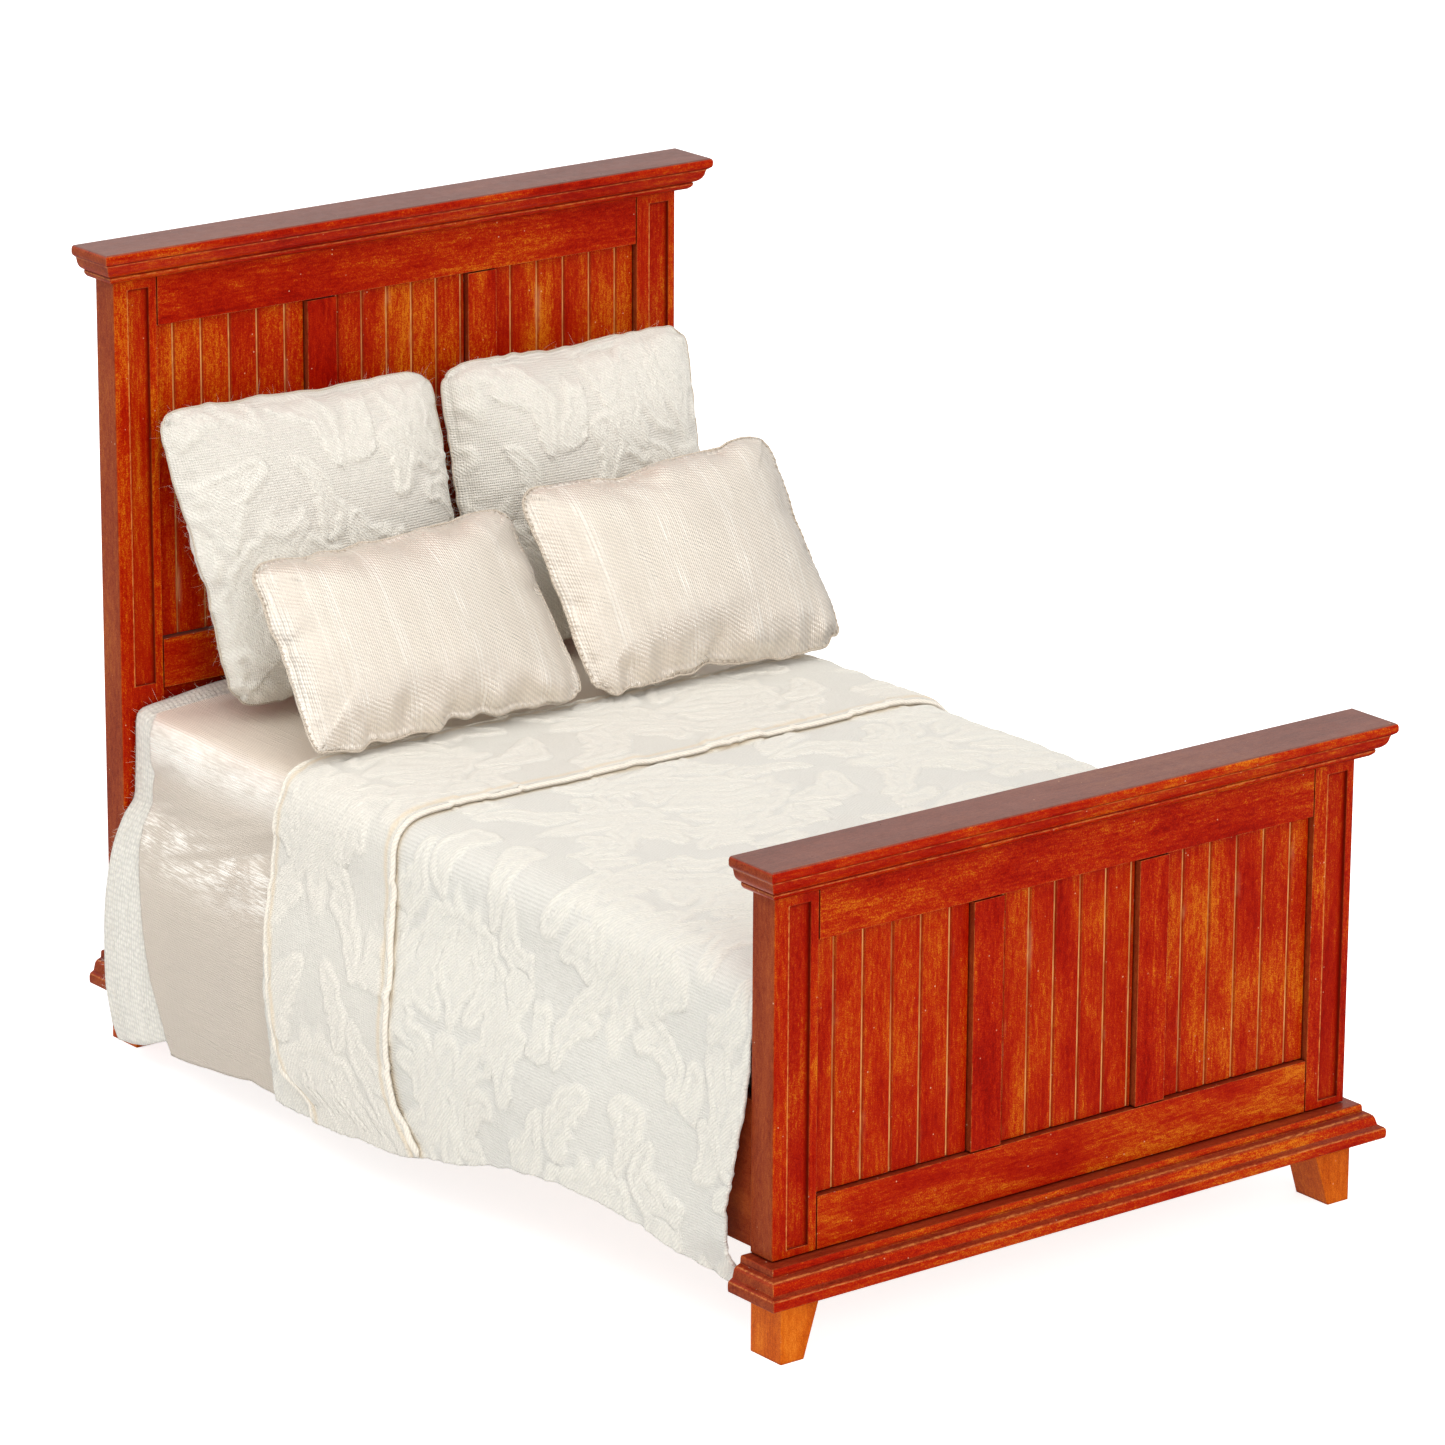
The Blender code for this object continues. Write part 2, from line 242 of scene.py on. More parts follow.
add_area_light("overhead_softbox", (-0.27, -0.10, 1.08), (0.0, 0.0, 0.05), (1.4, 1.4), 8.1, (1.0, 0.985, 0.96))
add_area_light("front_softbox", (-0.28, -1.43, 0.75), (0.0, 0.0, 0.06), (1.0, 0.8), 6.5, (1.0, 0.99, 0.975))
add_area_light("back_left_softbox", (-0.5, 0.95, 0.62), (0.0, 0.02, 0.06), (0.6, 0.6), 0.75, (1.0, 0.985, 0.96))
add_area_light("left_softbox", (-1.3, -0.1, 0.5), (0.0, 0.0, 0.05), (0.7, 0.6), 0.2)

floor_mesh = bpy.data.meshes.new("floor")
bm = bmesh.new()
bmesh.ops.create_grid(bm, x_segments=1, y_segments=1, size=6.0)
bm.to_mesh(floor_mesh)
bm.free()
floor = add_object("floor", floor_mesh)
tree = Tree(bpy.data.materials.new("floor_paper"))
paper = tree.noise(tree.place(), 900.0, 3.0)
tree.colour = tree.mix(paper, (0.74, 0.74, 0.74), (0.76, 0.76, 0.76))
watched = tree.node("ShaderNodeLightPath").outputs["Is Camera Ray"]
floor_mesh.materials.append(tree.surface(0.95, 0.05, Emission_Color=(1, 1, 1, 1),
                                         Emission_Strength=tree.mad(watched, 0.52, 0.26)))
floor.visible_glossy = False
floor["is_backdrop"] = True


# ---------------------------------------------------------------- wood
CHERRY = ((0.0, (0.22, 0.001, 0.0002)), (0.28, (0.33, 0.003, 0.0003)), (0.5, (0.405, 0.012, 0.0005)),
          (0.68, (0.46, 0.032, 0.001)), (0.84, (0.53, 0.085, 0.002)), (1.0, (0.64, 0.17, 0.006)))
AMBER = ((0.0, (0.42, 0.05, 0.002)), (0.4, (0.60, 0.105, 0.004)), (0.7, (0.72, 0.16, 0.008)),
         (1.0, (0.80, 0.23, 0.02)))
BASSWOOD = ((0.0, (0.45, 0.28, 0.14)), (0.5, (0.62, 0.43, 0.26)), (1.0, (0.74, 0.56, 0.38)))
PANEL_PITCH = {"left": (-34.0, 5.5), "right": (34.0, 5.5), "centre": (2.525, 5.05)}


def wood(name, tones, axis, shift=0.0, tone=0.0, gloss=1.0, grooves=None, seams=(), field=None,
         matt_top=False):
    """Stained, lacquered wood. axis is the way of the grain, tone makes a piece lighter or darker, and grooves
    is (x of one groove, spacing) in millimetres on a beadboard panel. The lines along a moulding are given as
    (height, half width) pairs: painted shade lines in its grooves and steps, each with a painted highlight line
    just below. field is the (left, right, bottom, top) of a post's routed field, which gets painted shade on its
    walls."""
    t = Tree(bpy.data.materials.new(name))
    place = t.place()
    x, z = t.axis(place, 0), t.axis(place, 2)
    moved = t.vector("ADD", place, (0.37 * shift, 0.61 * shift, 0.23 * shift))

    def drawn(share):
        return t.vector("MULTIPLY", moved, [share if way == axis else 1.0 for way in "XYZ"])

    figure = t.noise(drawn(0.16), 210.0, 4.0, 0.6, 0.8)
    cloud = t.noise(drawn(0.5), 70.0, 2.0, 0.5, 1.0)
    streak = t.noise(drawn(0.07), 2600.0, 2.0, 0.6)
    fleck = t.noise(drawn(0.42), 1900.0, 3.0, 0.72, 0.5)
    speckle = t.noise(moved, 5200.0, 1.0, 0.6)
    pores = t.voronoi(drawn(0.09), 2600.0)
    value = t.mad(figure, 1.0, tone)
    for layer, weight in ((cloud, 1.0), (streak, 0.6), (fleck, 1.0), (speckle, 1.1)):
        value = t.mad(layer, weight, t.sub(value, weight / 2))
    t.colour = t.ramp(value, tones)
    darkest = tones[0][1]
    t.paint(t.range(pores, 0.0, 0.16, 0.55, 0.0), shade(darkest, 0.7))
    # Painted shade: faces turned along x and upward faces are painted darker and duller. On the crown, upward faces
    # get a painted greyish reflection of the sky instead.
    flat = t.normal()
    facing_x, facing_y, facing_z = [t.axis(flat, number) for number in range(3)]
    if tones is CHERRY:
        mixed = t.range(t.mad(speckle, 0.7, t.mad(fleck, 0.8, t.mul(figure, 0.8))), 0.85, 1.45)
        side_shade = t.range(t.math("ABSOLUTE", facing_x), 0.55, 0.95, 0.0, 0.85)
        t.paint(side_shade, t.mix(mixed, (0.14, 0.013, 0.004), (0.35, 0.076, 0.020)))
        top = (0.10, 0.006, 0.002), (0.30, 0.045, 0.015)
        # On the crown the top is a painted reflection of the sky.
        if matt_top:
            top = (0.11, 0.048, 0.035), (0.215, 0.095, 0.07)
        t.paint(t.range(facing_z, 0.6, 0.95, 0.0, 0.9), t.mix(mixed, *top))
    # Painted shade: darker where ambient occlusion finds the surface hemmed in, in recesses, joints and beside other
    # parts.
    cavity = t.node("ShaderNodeAmbientOcclusion", {"Distance": 0.6 * MM}, samples=6).outputs["AO"]
    t.paint(t.ease(cavity, 0.35, 0.85, 0.7, 0.0), shade(darkest, 0.42))
    # Edges worn light: the rounded normal differs from the flat one only beside an edge.
    rounded = t.node("ShaderNodeBevel", {"Radius": 0.22 * MM}, samples=4).outputs[0]
    facing = t.node("ShaderNodeVectorMath", {0: rounded, 1: flat}, operation="DOT_PRODUCT").outputs["Value"]
    edge = t.ease(facing, 0.995, 0.90)
    patch = t.range(t.noise(moved, 420.0, 3.0, 0.6), 0.38, 0.58)
    worn = t.mul(edge, patch, t.range(cavity, 0.86, 0.97))
    t.paint(t.mul(worn, 0.8), (0.68, 0.23, 0.05))
    nick = t.range(t.noise(moved, 1500.0, 2.0, 0.7), 0.66, 0.72)
    t.paint(t.mul(edge, nick, 0.8), (0.80, 0.62, 0.44))
    # A few pale specks of dust in the lacquer
    dust = t.mul(t.range(t.voronoi(moved, 430.0), 0.062, 0.035), t.range(t.noise(moved, 160.0, 1.0), 0.42, 0.54), 0.75)
    t.paint(dust, (0.78, 0.5, 0.32))
    if grooves:
        steps = t.math("DIVIDE", t.sub(x, grooves[0] * MM), grooves[1] * MM)
        near = t.mul(t.sub(steps, t.math("ROUND", steps)), grooves[1])
        # Each groove gets a pale line along its left edge, stain rubbed through with a painted highlight, and beside
        # it a dark line of painted shadow on the groove's shaded wall.
        wear_and_glint = t.noise(t.scaled(moved, 1.0, 1.0, 0.25), 800.0, 3.0, 0.7)
        kept = t.range(t.noise(t.scaled(moved, 1.0, 1.0, 0.12), 260.0, 2.0), 0.34, 0.46, 0.35, 1.0)
        pale = t.mul(t.band(near, -0.36, -0.2, 0.15, 0.02, kind="SMOOTHSTEP"), kept,
                     t.range(wear_and_glint, 0.3, 0.6, 0.45, 1.0))
        dark = t.band(near, 0.05, 0.2, 0.5, 0.3, kind="SMOOTHSTEP")
        t.paint(t.mul(dark, 0.45), (0.20, 0.004, 0.001))
        t.paint(pale, t.mix(wear_and_glint, (0.70, 0.25, 0.045), (0.92, 0.57, 0.23)))
        blotch = t.range(t.noise(t.scaled(moved, 1.0, 1.0, 0.3), 210.0, 3.0, 0.6), 0.60, 0.72)
        t.paint(t.mul(t.band(near, -0.75, -0.3, 1.1, 0.1), blotch, 0.35), (0.68, 0.36, 0.17))
    # Along a moulding: a dark line of painted shade in each groove and step, and a pale line of painted highlight on
    # the edge just below it.
    for line_z, half in seams:
        near = t.math("ABSOLUTE", t.sub(z, line_z * MM))
        line = t.mul(t.ease(near, (half + 0.12) * MM, half * MM * 0.4), t.range(facing_z, 0.7, 0.5),
                     t.range(streak, 0.3, 0.6, 0.95, 0.55))
        t.paint(line, (0.10, 0.003, 0.001))
        near = t.math("ABSOLUTE", t.sub(z, (line_z - half - 0.2) * MM))
        line = t.mul(t.ease(near, 0.14 * MM, 0.03 * MM), t.range(fleck, 0.4, 0.6, 0.1, 0.6))
        t.paint(line, (0.70, 0.26, 0.07))
    if field:
        # Painted shade on the routed field's right and top walls, and a pale line along its left edge, stain rubbed
        # through with a painted highlight. The field itself is painted a little darker.
        left, right, bottom, top = field
        in_front = t.range(facing_y, -0.6, -0.9)
        inside_z = t.band(z, bottom - 0.2, bottom, top + 0.2, top, MM)
        left_line = t.range(t.math("ABSOLUTE", t.sub(x, (left - 0.08) * MM)), 0.24 * MM, 0.1 * MM)
        left_line = t.mul(left_line, inside_z, in_front, t.range(fleck, 0.36, 0.6, 0.15, 0.9))
        t.paint(left_line, (0.70, 0.25, 0.06))
        right_line = t.mul(t.band(x, right - 0.7, right - 0.1, right + 0.15, right + 0.02, MM), inside_z)
        top_line = t.mul(t.band(z, top - 0.6, top - 0.1, top + 0.1, top, MM),
                         t.band(x, left, left + 0.2, right + 0.1, right, MM))
        t.paint(t.mul(t.math("MAXIMUM", right_line, top_line), 0.8), (0.14, 0.002, 0.0005))
        panel = t.mul(t.band(x, left, left + 0.1, right, right - 0.1, MM), inside_z, in_front, 0.2)
        t.paint(panel, (0.30, 0.004, 0.001))
    rough = t.mad(t.noise(moved, 500.0, 3.0), 0.14, 0.24 / gloss)
    rough = t.math("MULTIPLY_ADD", worn, 0.25, rough, clamp=True)
    normal = t.bump(t.mad(streak, 0.6, t.mul(pores, 0.3)), 0.03, 0.5)
    normal = t.bump(t.add(fleck, speckle), 0.03, 0.35, normal)
    return t.surface(rough, 0.3, IOR=1.5, Normal=normal, Specular_Tint=(1.0, 0.3, 0.06, 1.0))


SHARP = math.radians(38)


def smooth_by_angle():
    """A geometry node group that shades smooth except across sharp edges."""
    group = bpy.data.node_groups.new("smooth_by_angle", "GeometryNodeTree")
    for in_out in ("INPUT", "OUTPUT"):
        group.interface.new_socket("Geometry", in_out=in_out, socket_type="NodeSocketGeometry")
    start, end, faces, edges, angle, sharp = [group.nodes.new(kind) for kind in (
        "NodeGroupInput", "NodeGroupOutput", "GeometryNodeSetShadeSmooth", "GeometryNodeSetShadeSmooth",
        "GeometryNodeInputMeshEdgeAngle", "FunctionNodeCompare")]
    edges.domain = "EDGE"
    edges.inputs[2].default_value = False
    sharp.operation = "GREATER_THAN"
    sharp.inputs[1].default_value = SHARP
    for source, target, socket in ((start, faces, 0), (faces, edges, 0), (angle, sharp, 0), (sharp, edges, 1),
                                   (edges, end, 0)):
        group.links.new(source.outputs[0], target.inputs[socket])
    return group


SMOOTHING = smooth_by_angle()


def ease_edges(piece, width):
    """Closes the imported mesh's split corners, takes the sharpness off its edges and shades it by angle."""
    weld = piece.modifiers.new("weld", "WELD")
    weld.merge_threshold = 0.002 * MM
    ease = piece.modifiers.new("ease", "BEVEL")
    ease.width = width * MM
    ease.segments = 2
    ease.limit_method = "ANGLE"
    ease.angle_limit = SHARP
    ease.harden_normals = False
    shade = piece.modifiers.new("shade", "NODES")
    shade.node_group = SMOOTHING
    even = piece.modifiers.new("even", "WEIGHTED_NORMAL")
    even.keep_sharp = True
    even.weight = 100


def dress(node_name, tones, axis, shift, tone=0.0, width=0.1, **marks):
    piece = nodes[node_name]
    piece.data.materials.clear()
    piece.data.materials.append(wood(node_name + "_wood", tones, axis, shift, tone, **marks))
    ease_edges(piece, width)


# shift moves each piece to its own place in the grain, so that no two look the same.
BOARDS = {"head": dict(shift=1.0, post=0.09, panel=0.08, top_rail=-0.02, field=(61.8, 128.6), crown_z=130.6),
          "foot": dict(shift=4.1, post=0.04, panel=0.05, top_rail=0.03, field=(17.0, 70.4), crown_z=72.6)}
for board, its in BOARDS.items():
    base, crown_z = its["shift"], its["crown_z"]
    for offset, (word, side) in enumerate((("left", -1), ("right", 1))):
        middle = side * 52.9 + 0.6
        dress(f"{board}_post_{word}", CHERRY, "Z", base + offset * 0.37, its["post"],
              field=(middle - 1.95, middle + 1.95, *its["field"]))
        dress(f"{board}_mullion_{word}", CHERRY, "Z", base + 0.9 + offset * 0.41, -0.06)
        dress(f"{board}_foot_{word}", AMBER, "Z", base + 1.3 + offset * 0.5, -0.10)
    for offset, word in enumerate(("left", "centre", "right")):
        dress(f"{board}_panel_{word}", CHERRY, "Z", base + 1.7 + offset * 0.29, its["panel"], 0.05,
              grooves=PANEL_PITCH[word])
    dress(f"{board}_top_rail", CHERRY, "X", base + 2.2, its["top_rail"])
    dress(f"{board}_bottom_rail", CHERRY, "X", base + 2.5, 0.04)
    dress(f"{board}_crown", CHERRY, "X", base + 2.8, -0.02, 0.06, matt_top=True,
          seams=((crown_z + 1.24, 0.16), (crown_z + 3.75, 0.1)))
    dress(f"{board}_plinth", CHERRY, "X", base + 2.95, 0.06, 0.06, seams=((12.3, 0.14), (14.45, 0.18)))
dress("head_lower_board", CHERRY, "X", 8.3, -0.12)
for offset, word in enumerate(("left", "right")):
    dress(f"side_rail_{word}", CHERRY, "Y", 9.1 + offset, -0.12)
    dress(f"cleat_{word}", BASSWOOD, "Y", 10.3 + offset, gloss=0.4)
dress("bed_board", BASSWOOD, "Y", 12.7, gloss=0.4)


# ---------------------------------------------------------------- cloth materials
def cloth_tree(name):
    t = Tree(bpy.data.materials.new(name))
    return t, t.attribute("cloth", "Vector")


def brocade(name, warm=(0.87, 0.84, 0.755), ground=(0.825, 0.805, 0.74), ribs="X", depth=0.15):
    """Woven scroll cloth: matt raised figures over a finely ribbed, greyer ground. Coordinates are millimetres."""
    t, place = cloth_tree(name)
    fuzz = t.noise(place, 2.6, 4.0, 0.68)
    ragged = t.mad(t.noise(place, 1.7, 3.0, 0.7), 1.5, t.sub(t.attribute("relief"), 0.75))
    figure = t.ease(ragged, 0.0, 0.95)
    rib = t.wave(place, 0.72, ribs, 1.6, 2.0, 1.6)
    cross = t.wave(place, 1.0, "Y" if ribs == "X" else "X", 1.6, 1.0, 2.0)
    thread = t.wave(place, 0.9, "DIAGONAL", 4.0, 2.0, 1.4)
    mottled = t.noise(place, 0.13, 3.0, 0.5)
    ground_tone = t.mix(t.mul(t.add(rib, cross), 0.5), shade(ground, 0.84), shade(ground, 1.07))
    figure_tone = t.mix(thread, shade(warm, 0.90), shade(warm, 1.06))
    t.colour = t.mix(figure, ground_tone, figure_tone)
    t.paint(t.range(mottled, 0.3, 0.75, 0.0, 0.4), t.mix(0.5, t.colour, (0.86, 0.80, 0.72)))
    t.paint(t.range(fuzz, 0.34, 0.62, 0.34, 0.0), shade(ground, 0.78))
    # Warm painted shade beside the cuff's hems.
    t.paint(t.mul(t.attribute("hem_shade"), 0.75), (0.80, 0.665, 0.48))
    weave = t.node("ShaderNodeRGBToBW", {0: t.mix(figure, rib, thread)}).outputs[0]
    normal = t.bump(t.mad(weave, 0.6, t.mul(cross, 0.4)), depth, 0.7)
    normal = t.bump(fuzz, 0.25, 0.75, normal)
    return t.surface(t.mad(figure, 0.25, 0.5), 0.35, (0.2, 0.45), Normal=normal)


def satin(name, base, metallic, rough, pitch, slubs, glow=0.0, bands=0.0, ply=0.14):
    """A lustrous diagonal weave with slubs: thicker threads that run across it. glow, when set, paints shade on the
    sheet's hanging sides and light on its top, and is the strength of the painted highlights, lit also by emission,
    on its edge and folds. bands is the strength of the upright bands of raised threads."""
    t, place = cloth_tree(name)
    twill = t.wave(t.scaled(place, 1.0, 1.5), pitch, "DIAGONAL", 0.9, 2.0, 1.5)
    weft = t.wave(place, 0.85, "X", 1.4, 2.0, 1.6)
    slub_line = t.range(t.noise(t.scaled(place, 1.9, 0.05), 1.0, 3.0, 0.65), 0.53, 0.68)
    mottled = t.noise(place, 0.16, 3.0, 0.5)
    fuzz = t.noise(place, 3.0, 3.0, 0.65)
    twill = t.mul(twill, t.range(weft, 0.0, 1.0, 0.5, 1.0))
    t.colour = t.mix(twill, shade(base, 1 - ply), shade(base, 1 + ply * 0.6))
    t.paint(t.mul(slub_line, slubs * 0.55), shade(base, 0.78))
    t.paint(t.range(mottled, 0.35, 0.7, 0.0, 0.22), (0.74, 0.64, 0.55))
    t.paint(t.range(fuzz, 0.34, 0.6, 0.3, 0.0), shade(base, 0.74))
    if bands:
        across = t.node("ShaderNodeCombineXYZ", {0: t.axis(place, 0)}).outputs[0]
        where = t.range(t.noise(across, 0.22, 2.0, 0.6), 0.45, 0.6)
        broken = t.range(t.noise(t.scaled(place, 2.0, 0.22), 1.0, 2.0), 0.35, 0.6)
        line = t.mul(t.wave(place, 0.42, "X", 0.9, 2.0, 1.2), where, broken)
        t.paint(t.mul(line, bands), (0.97, 0.93, 0.86))
        slub_line = t.mad(line, 1.2, slub_line)
    thickness = t.mad(slub_line, slubs, t.mad(twill, 0.7, t.mul(weft, 0.4)))
    normal = t.bump(thickness, ply, 0.6)
    normal = t.bump(t.noise(place, 0.5, 3.0, 0.55), 0.5, 0.16, normal)
    shining = {}
    if glow:
        # Painted shade on the hanging sides and painted light on the top. Then come painted highlights, which also
        # glow by emission, in a band under the top edge and along the folds at set heights.
        up, level = t.axis(t.normal(), 2), t.axis(t.place(), 2)
        t.paint(t.mul(t.range(up, 0.95, 0.6), 0.85), shade(base, 0.80))
        t.paint(t.range(up, 0.75, 1.0, 0.0, 0.9), (0.99, 0.885, 0.755))
        streak = t.noise(t.scaled(place, 3.4, 0.24), 1.0, 3.0, 0.72)
        threads = t.mad(t.noise(t.scaled(place, 0.35, 0.13), 1.0, 2.0, 0.5), 0.6, streak)
        border = t.mul(t.ease(level, 47.5 * MM, 53.5 * MM), t.range(up, 0.99, 0.86),
                       t.range(threads, 0.58, 0.92, 0.3, 0.95))
        fold = t.mul(t.ease(up, 0.16, 0.36), t.band(level, 32.0, 37.5, 46.0, 41.0, MM),
                     t.range(threads, 0.76, 0.92))
        shine = t.mul(t.math("MAXIMUM", border, fold), t.range(weft, 0.0, 1.0, 0.7, 1.0))
        t.paint(t.mul(shine, glow), (1.0, 0.965, 0.90))
        shining = {"Emission_Color": (1.0, 0.965, 0.90, 1.0), "Emission_Strength": t.mul(shine, glow * 0.2)}
    # Warm painted shade beside the cuff's head hem.
    t.paint(t.mul(t.attribute("hem_shade"), 0.7), (0.80, 0.655, 0.48))
    roughness = t.mad(twill, 0.08, t.mad(mottled, 0.12, rough - 0.08))
    return t.surface(roughness, 0.6, (0.2, 0.3), Metallic=metallic, Normal=normal, **shining)


def terry(name, base=(0.98, 0.945, 0.85)):
    """A fuzzy knit: rows of small loops under loose fibres, warmer towards the hem."""
    t, place = cloth_tree(name)
    loops = t.voronoi(t.scaled(place, 1.15, 1.6), 1.0, 0.35)
    rows = t.wave(place, 0.42, "Y", 1.2, 1.0, 2.0)
    fuzz = t.noise(place, 3.2, 4.0, 0.7)
    mottled = t.noise(place, 0.2, 3.0, 0.5)
    t.colour = t.mix(t.ease(t.axis(place, 0), 76.0, 96.0), base, (1.0, 0.95, 0.83))
    t.paint(t.range(loops, 0.12, 0.6, 0.0, 0.9), shade(base, 0.70))
    t.paint(t.range(mottled, 0.3, 0.7, 0.0, 0.3), shade(base, 0.93))
    normal = t.bump(t.mad(loops, -1.3, t.mad(rows, 0.3, fuzz)), 0.3, 0.85)
    return t.surface(t.range(fuzz, 0.3, 0.7, 0.85, 1.0), 0.15, (0.45, 0.6), Normal=normal)


def cord_cloth(name, base=(0.91, 0.845, 0.735), turns=0.8, contrast=0.05):
    """Rolled or twisted edge: fine diagonal turns along a thin round hem."""
    t, place = cloth_tree(name)
    twist = t.wave(place, turns, "DIAGONAL", 0.8, 1.0, 1.5)
    fuzz = t.noise(place, 2.4, 3.0, 0.6)
    t.colour = t.mix(twist, shade(base, 1 - contrast), shade(base, 1 + contrast))
    t.paint(t.range(fuzz, 0.35, 0.7, 0.35, 0.0), shade(base, 0.8))
    normal = t.bump(t.mad(twist, contrast * 6, fuzz), 0.16, 0.75)
    return t.surface(t.range(fuzz, 0.3, 0.7, 0.6, 0.8), 0.3, (0.2, 0.4), Normal=normal)


def ticking(name):
    """Plain cotton with narrow woven stripes along the mattress."""
    t = Tree(bpy.data.materials.new(name))
    place = t.scaled(t.place(), 1000.0, 1000.0, 1000.0)
    stripe = t.range(t.math("PINGPONG", t.axis(place, 0), 2.5), 0.35, 0.55, 1.0, 0.0)
    weave = t.wave(place, 1.6, "DIAGONAL", 0.6, 1.0, 2.0)
    t.colour = t.mix(weave, (0.80, 0.775, 0.71), (0.88, 0.86, 0.80))
    t.paint(t.mul(stripe, 0.55), (0.34, 0.40, 0.52))
    t.paint(t.range(t.noise(place, 0.08, 3.0), 0.4, 0.7, 0.0, 0.25), (0.76, 0.71, 0.62))
    return t.surface(0.85, 0.2, Normal=t.bump(weave, 0.06, 0.5))


BROCADE = brocade("coverlet_brocade")
CUFF_BROCADE = brocade("cuff_brocade", (0.86, 0.82, 0.735), (0.82, 0.79, 0.715), "Y")
PILLOW_BROCADE = brocade("pillow_brocade", (0.965, 0.915, 0.825), (0.93, 0.885, 0.80), "Y", 0.26)
SHEET_SATIN = satin("sheet_satin", (0.85, 0.75, 0.635), 0.18, 0.36, 0.9, 0.8, glow=0.85)
PILLOW_SATIN = satin("pillow_satin", (0.84, 0.757, 0.655), 0.38, 0.31, 0.52, 0.3, bands=0.6, ply=0.17)
TERRY = terry("terry_knit")
HEM = cord_cloth("rolled_hem", contrast=0.09)
STITCH = cord_cloth("seam_thread", (0.74, 0.64, 0.52), 1.6, 0.12)
FIBRE = cord_cloth("loose_fibre", (0.88, 0.82, 0.72), 0.8)


# ---------------------------------------------------------------- shapes shared by the cloths
def value_noise(x, y, seed):
    """Smooth random values from 0 to 1 on a unit lattice, the same on every run."""
    lattice = np.random.default_rng(seed).random((64, 64))
    x, y = np.asarray(x, float) + 1000.0, np.asarray(y, float) + 1000.0
    i, j = np.floor(x).astype(int), np.floor(y).astype(int)
    u, v = x - i, y - j
    u, v = u * u * (3 - 2 * u), v * v * (3 - 2 * v)
    a = lattice[i % 64, j % 64]
    b = lattice[(i + 1) % 64, j % 64]
    c = lattice[i % 64, (j + 1) % 64]
    d = lattice[(i + 1) % 64, (j + 1) % 64]
    return (a * (1 - u) + b * u) * (1 - v) + (c * (1 - u) + d * u) * v


def ripple(x, y, seed):
    return value_noise(x, y, seed) - 0.5


def smooth_step(value, low, high):
    share = np.clip((np.asarray(value, float) - low) / (high - low), 0, 1)
    return share * share * (3 - 2 * share)


def unit(vectors):
    return vectors / (np.linalg.norm(vectors, axis=-1, keepdims=True) + 1e-9)


def distances(path):
    """How far along a path each of its points lies."""
    return np.concatenate([[0], np.cumsum(np.linalg.norm(np.diff(path, axis=0), axis=1))])


def line_at(value, table):
    """Reads a table of (value, result) pairs that rise in value."""
    table = np.array(table, float)
    return np.interp(value, table[:, 0], table[:, 1])


def catmull_rom(points, count):
    """A smooth path through points, resampled to count places with even spacing."""
    points = np.array(points, float)
    padded = np.vstack([2 * points[0] - points[1], points, 2 * points[-1] - points[-2]])
    dense = []
    for k in range(len(points) - 1):
        p0, p1, p2, p3 = padded[k:k + 4]
        t = np.linspace(0, 1, 16, endpoint=False)[:, None]
        dense.append(0.5 * (2 * p1 + (p2 - p0) * t + (2 * p0 - 5 * p1 + 4 * p2 - p3) * t ** 2
                            + (3 * p1 - p0 - 3 * p2 + p3) * t ** 3))
    dense = np.vstack(dense + [points[-1:]])
    length = distances(dense)
    even = np.linspace(0, length[-1], count)
    return np.column_stack([np.interp(even, length, values) for values in dense.T]), length[-1]


# Half of the cross-section that the innermost cloth follows, from the middle of the bed's top to the floor
HALF_SECTION = ((0.0, 55.75), (20.0, 55.8), (40.0, 55.8), (48.0, 55.7), (51.4, 55.2), (53.2, 53.9),
                (54.1, 51.4), (54.8, 47.6), (55.8, 43.8), (57.4, 39.6), (59.3, 34.6), (60.8, 29.0),
                (61.6, 22.0), (62.0, 14.0), (62.0, 7.0), (62.0, 0.5))
# The same beside the headboard, where the top edges are squarer and the cloths hang straight before they flare
HEAD_SECTION = ((0.0, 57.0), (20.0, 57.0), (40.0, 56.9), (48.0, 56.8), (52.0, 56.7), (53.9, 56.2), (54.5, 54.8),
                (54.6, 51.4), (54.8, 47.0), (55.2, 43.2), (57.3, 40.3), (59.5, 35.5), (60.9, 29.0),
                (61.6, 22.0), (62.0, 14.0), (62.0, 7.0), (62.0, 0.5))


def section(points):
    """Places, distances along them and outward normals of a half cross-section."""
    places, length = catmull_rom(points, 600)
    tangent = unit(np.gradient(places, axis=0))
    return places, np.linspace(0, length, 600), np.column_stack([-tangent[:, 1], tangent[:, 0]])


SECTION, SECTION_AT, SECTION_NORMAL = section(HALF_SECTION)
HEAD, HEAD_AT, HEAD_NORMAL = section(HEAD_SECTION)
# The hems' height at each place along the bed, on the left side
HEM_LINE = ((-85.0, 12.3), (-78.0, 9.9), (-70.0, 12.2), (-60.8, 14.9), (-50.0, 16.6), (-43.3, 16.7), (-30.5, 15.2),
            (-18.0, 11.8), (-4.2, 9.6), (10.6, 8.6), (26.0, 8.1), (40.4, 8.5), (56.0, 6.6), (65.7, 5.5),
            (67.8, 7.0), (74.0, 4.6), (81.3, 3.4), (90.0, 3.2))


def hem_height(y, side):
    z = line_at(y, HEM_LINE)
    if side > 0:
        z = line_at(y + 7.0, HEM_LINE) * 0.94 + 0.6 + value_noise(y / 19.0, 3.3, 12) * 1.6
    return z + ripple(y / 3.1, 7.0 * side, 5) * 0.35


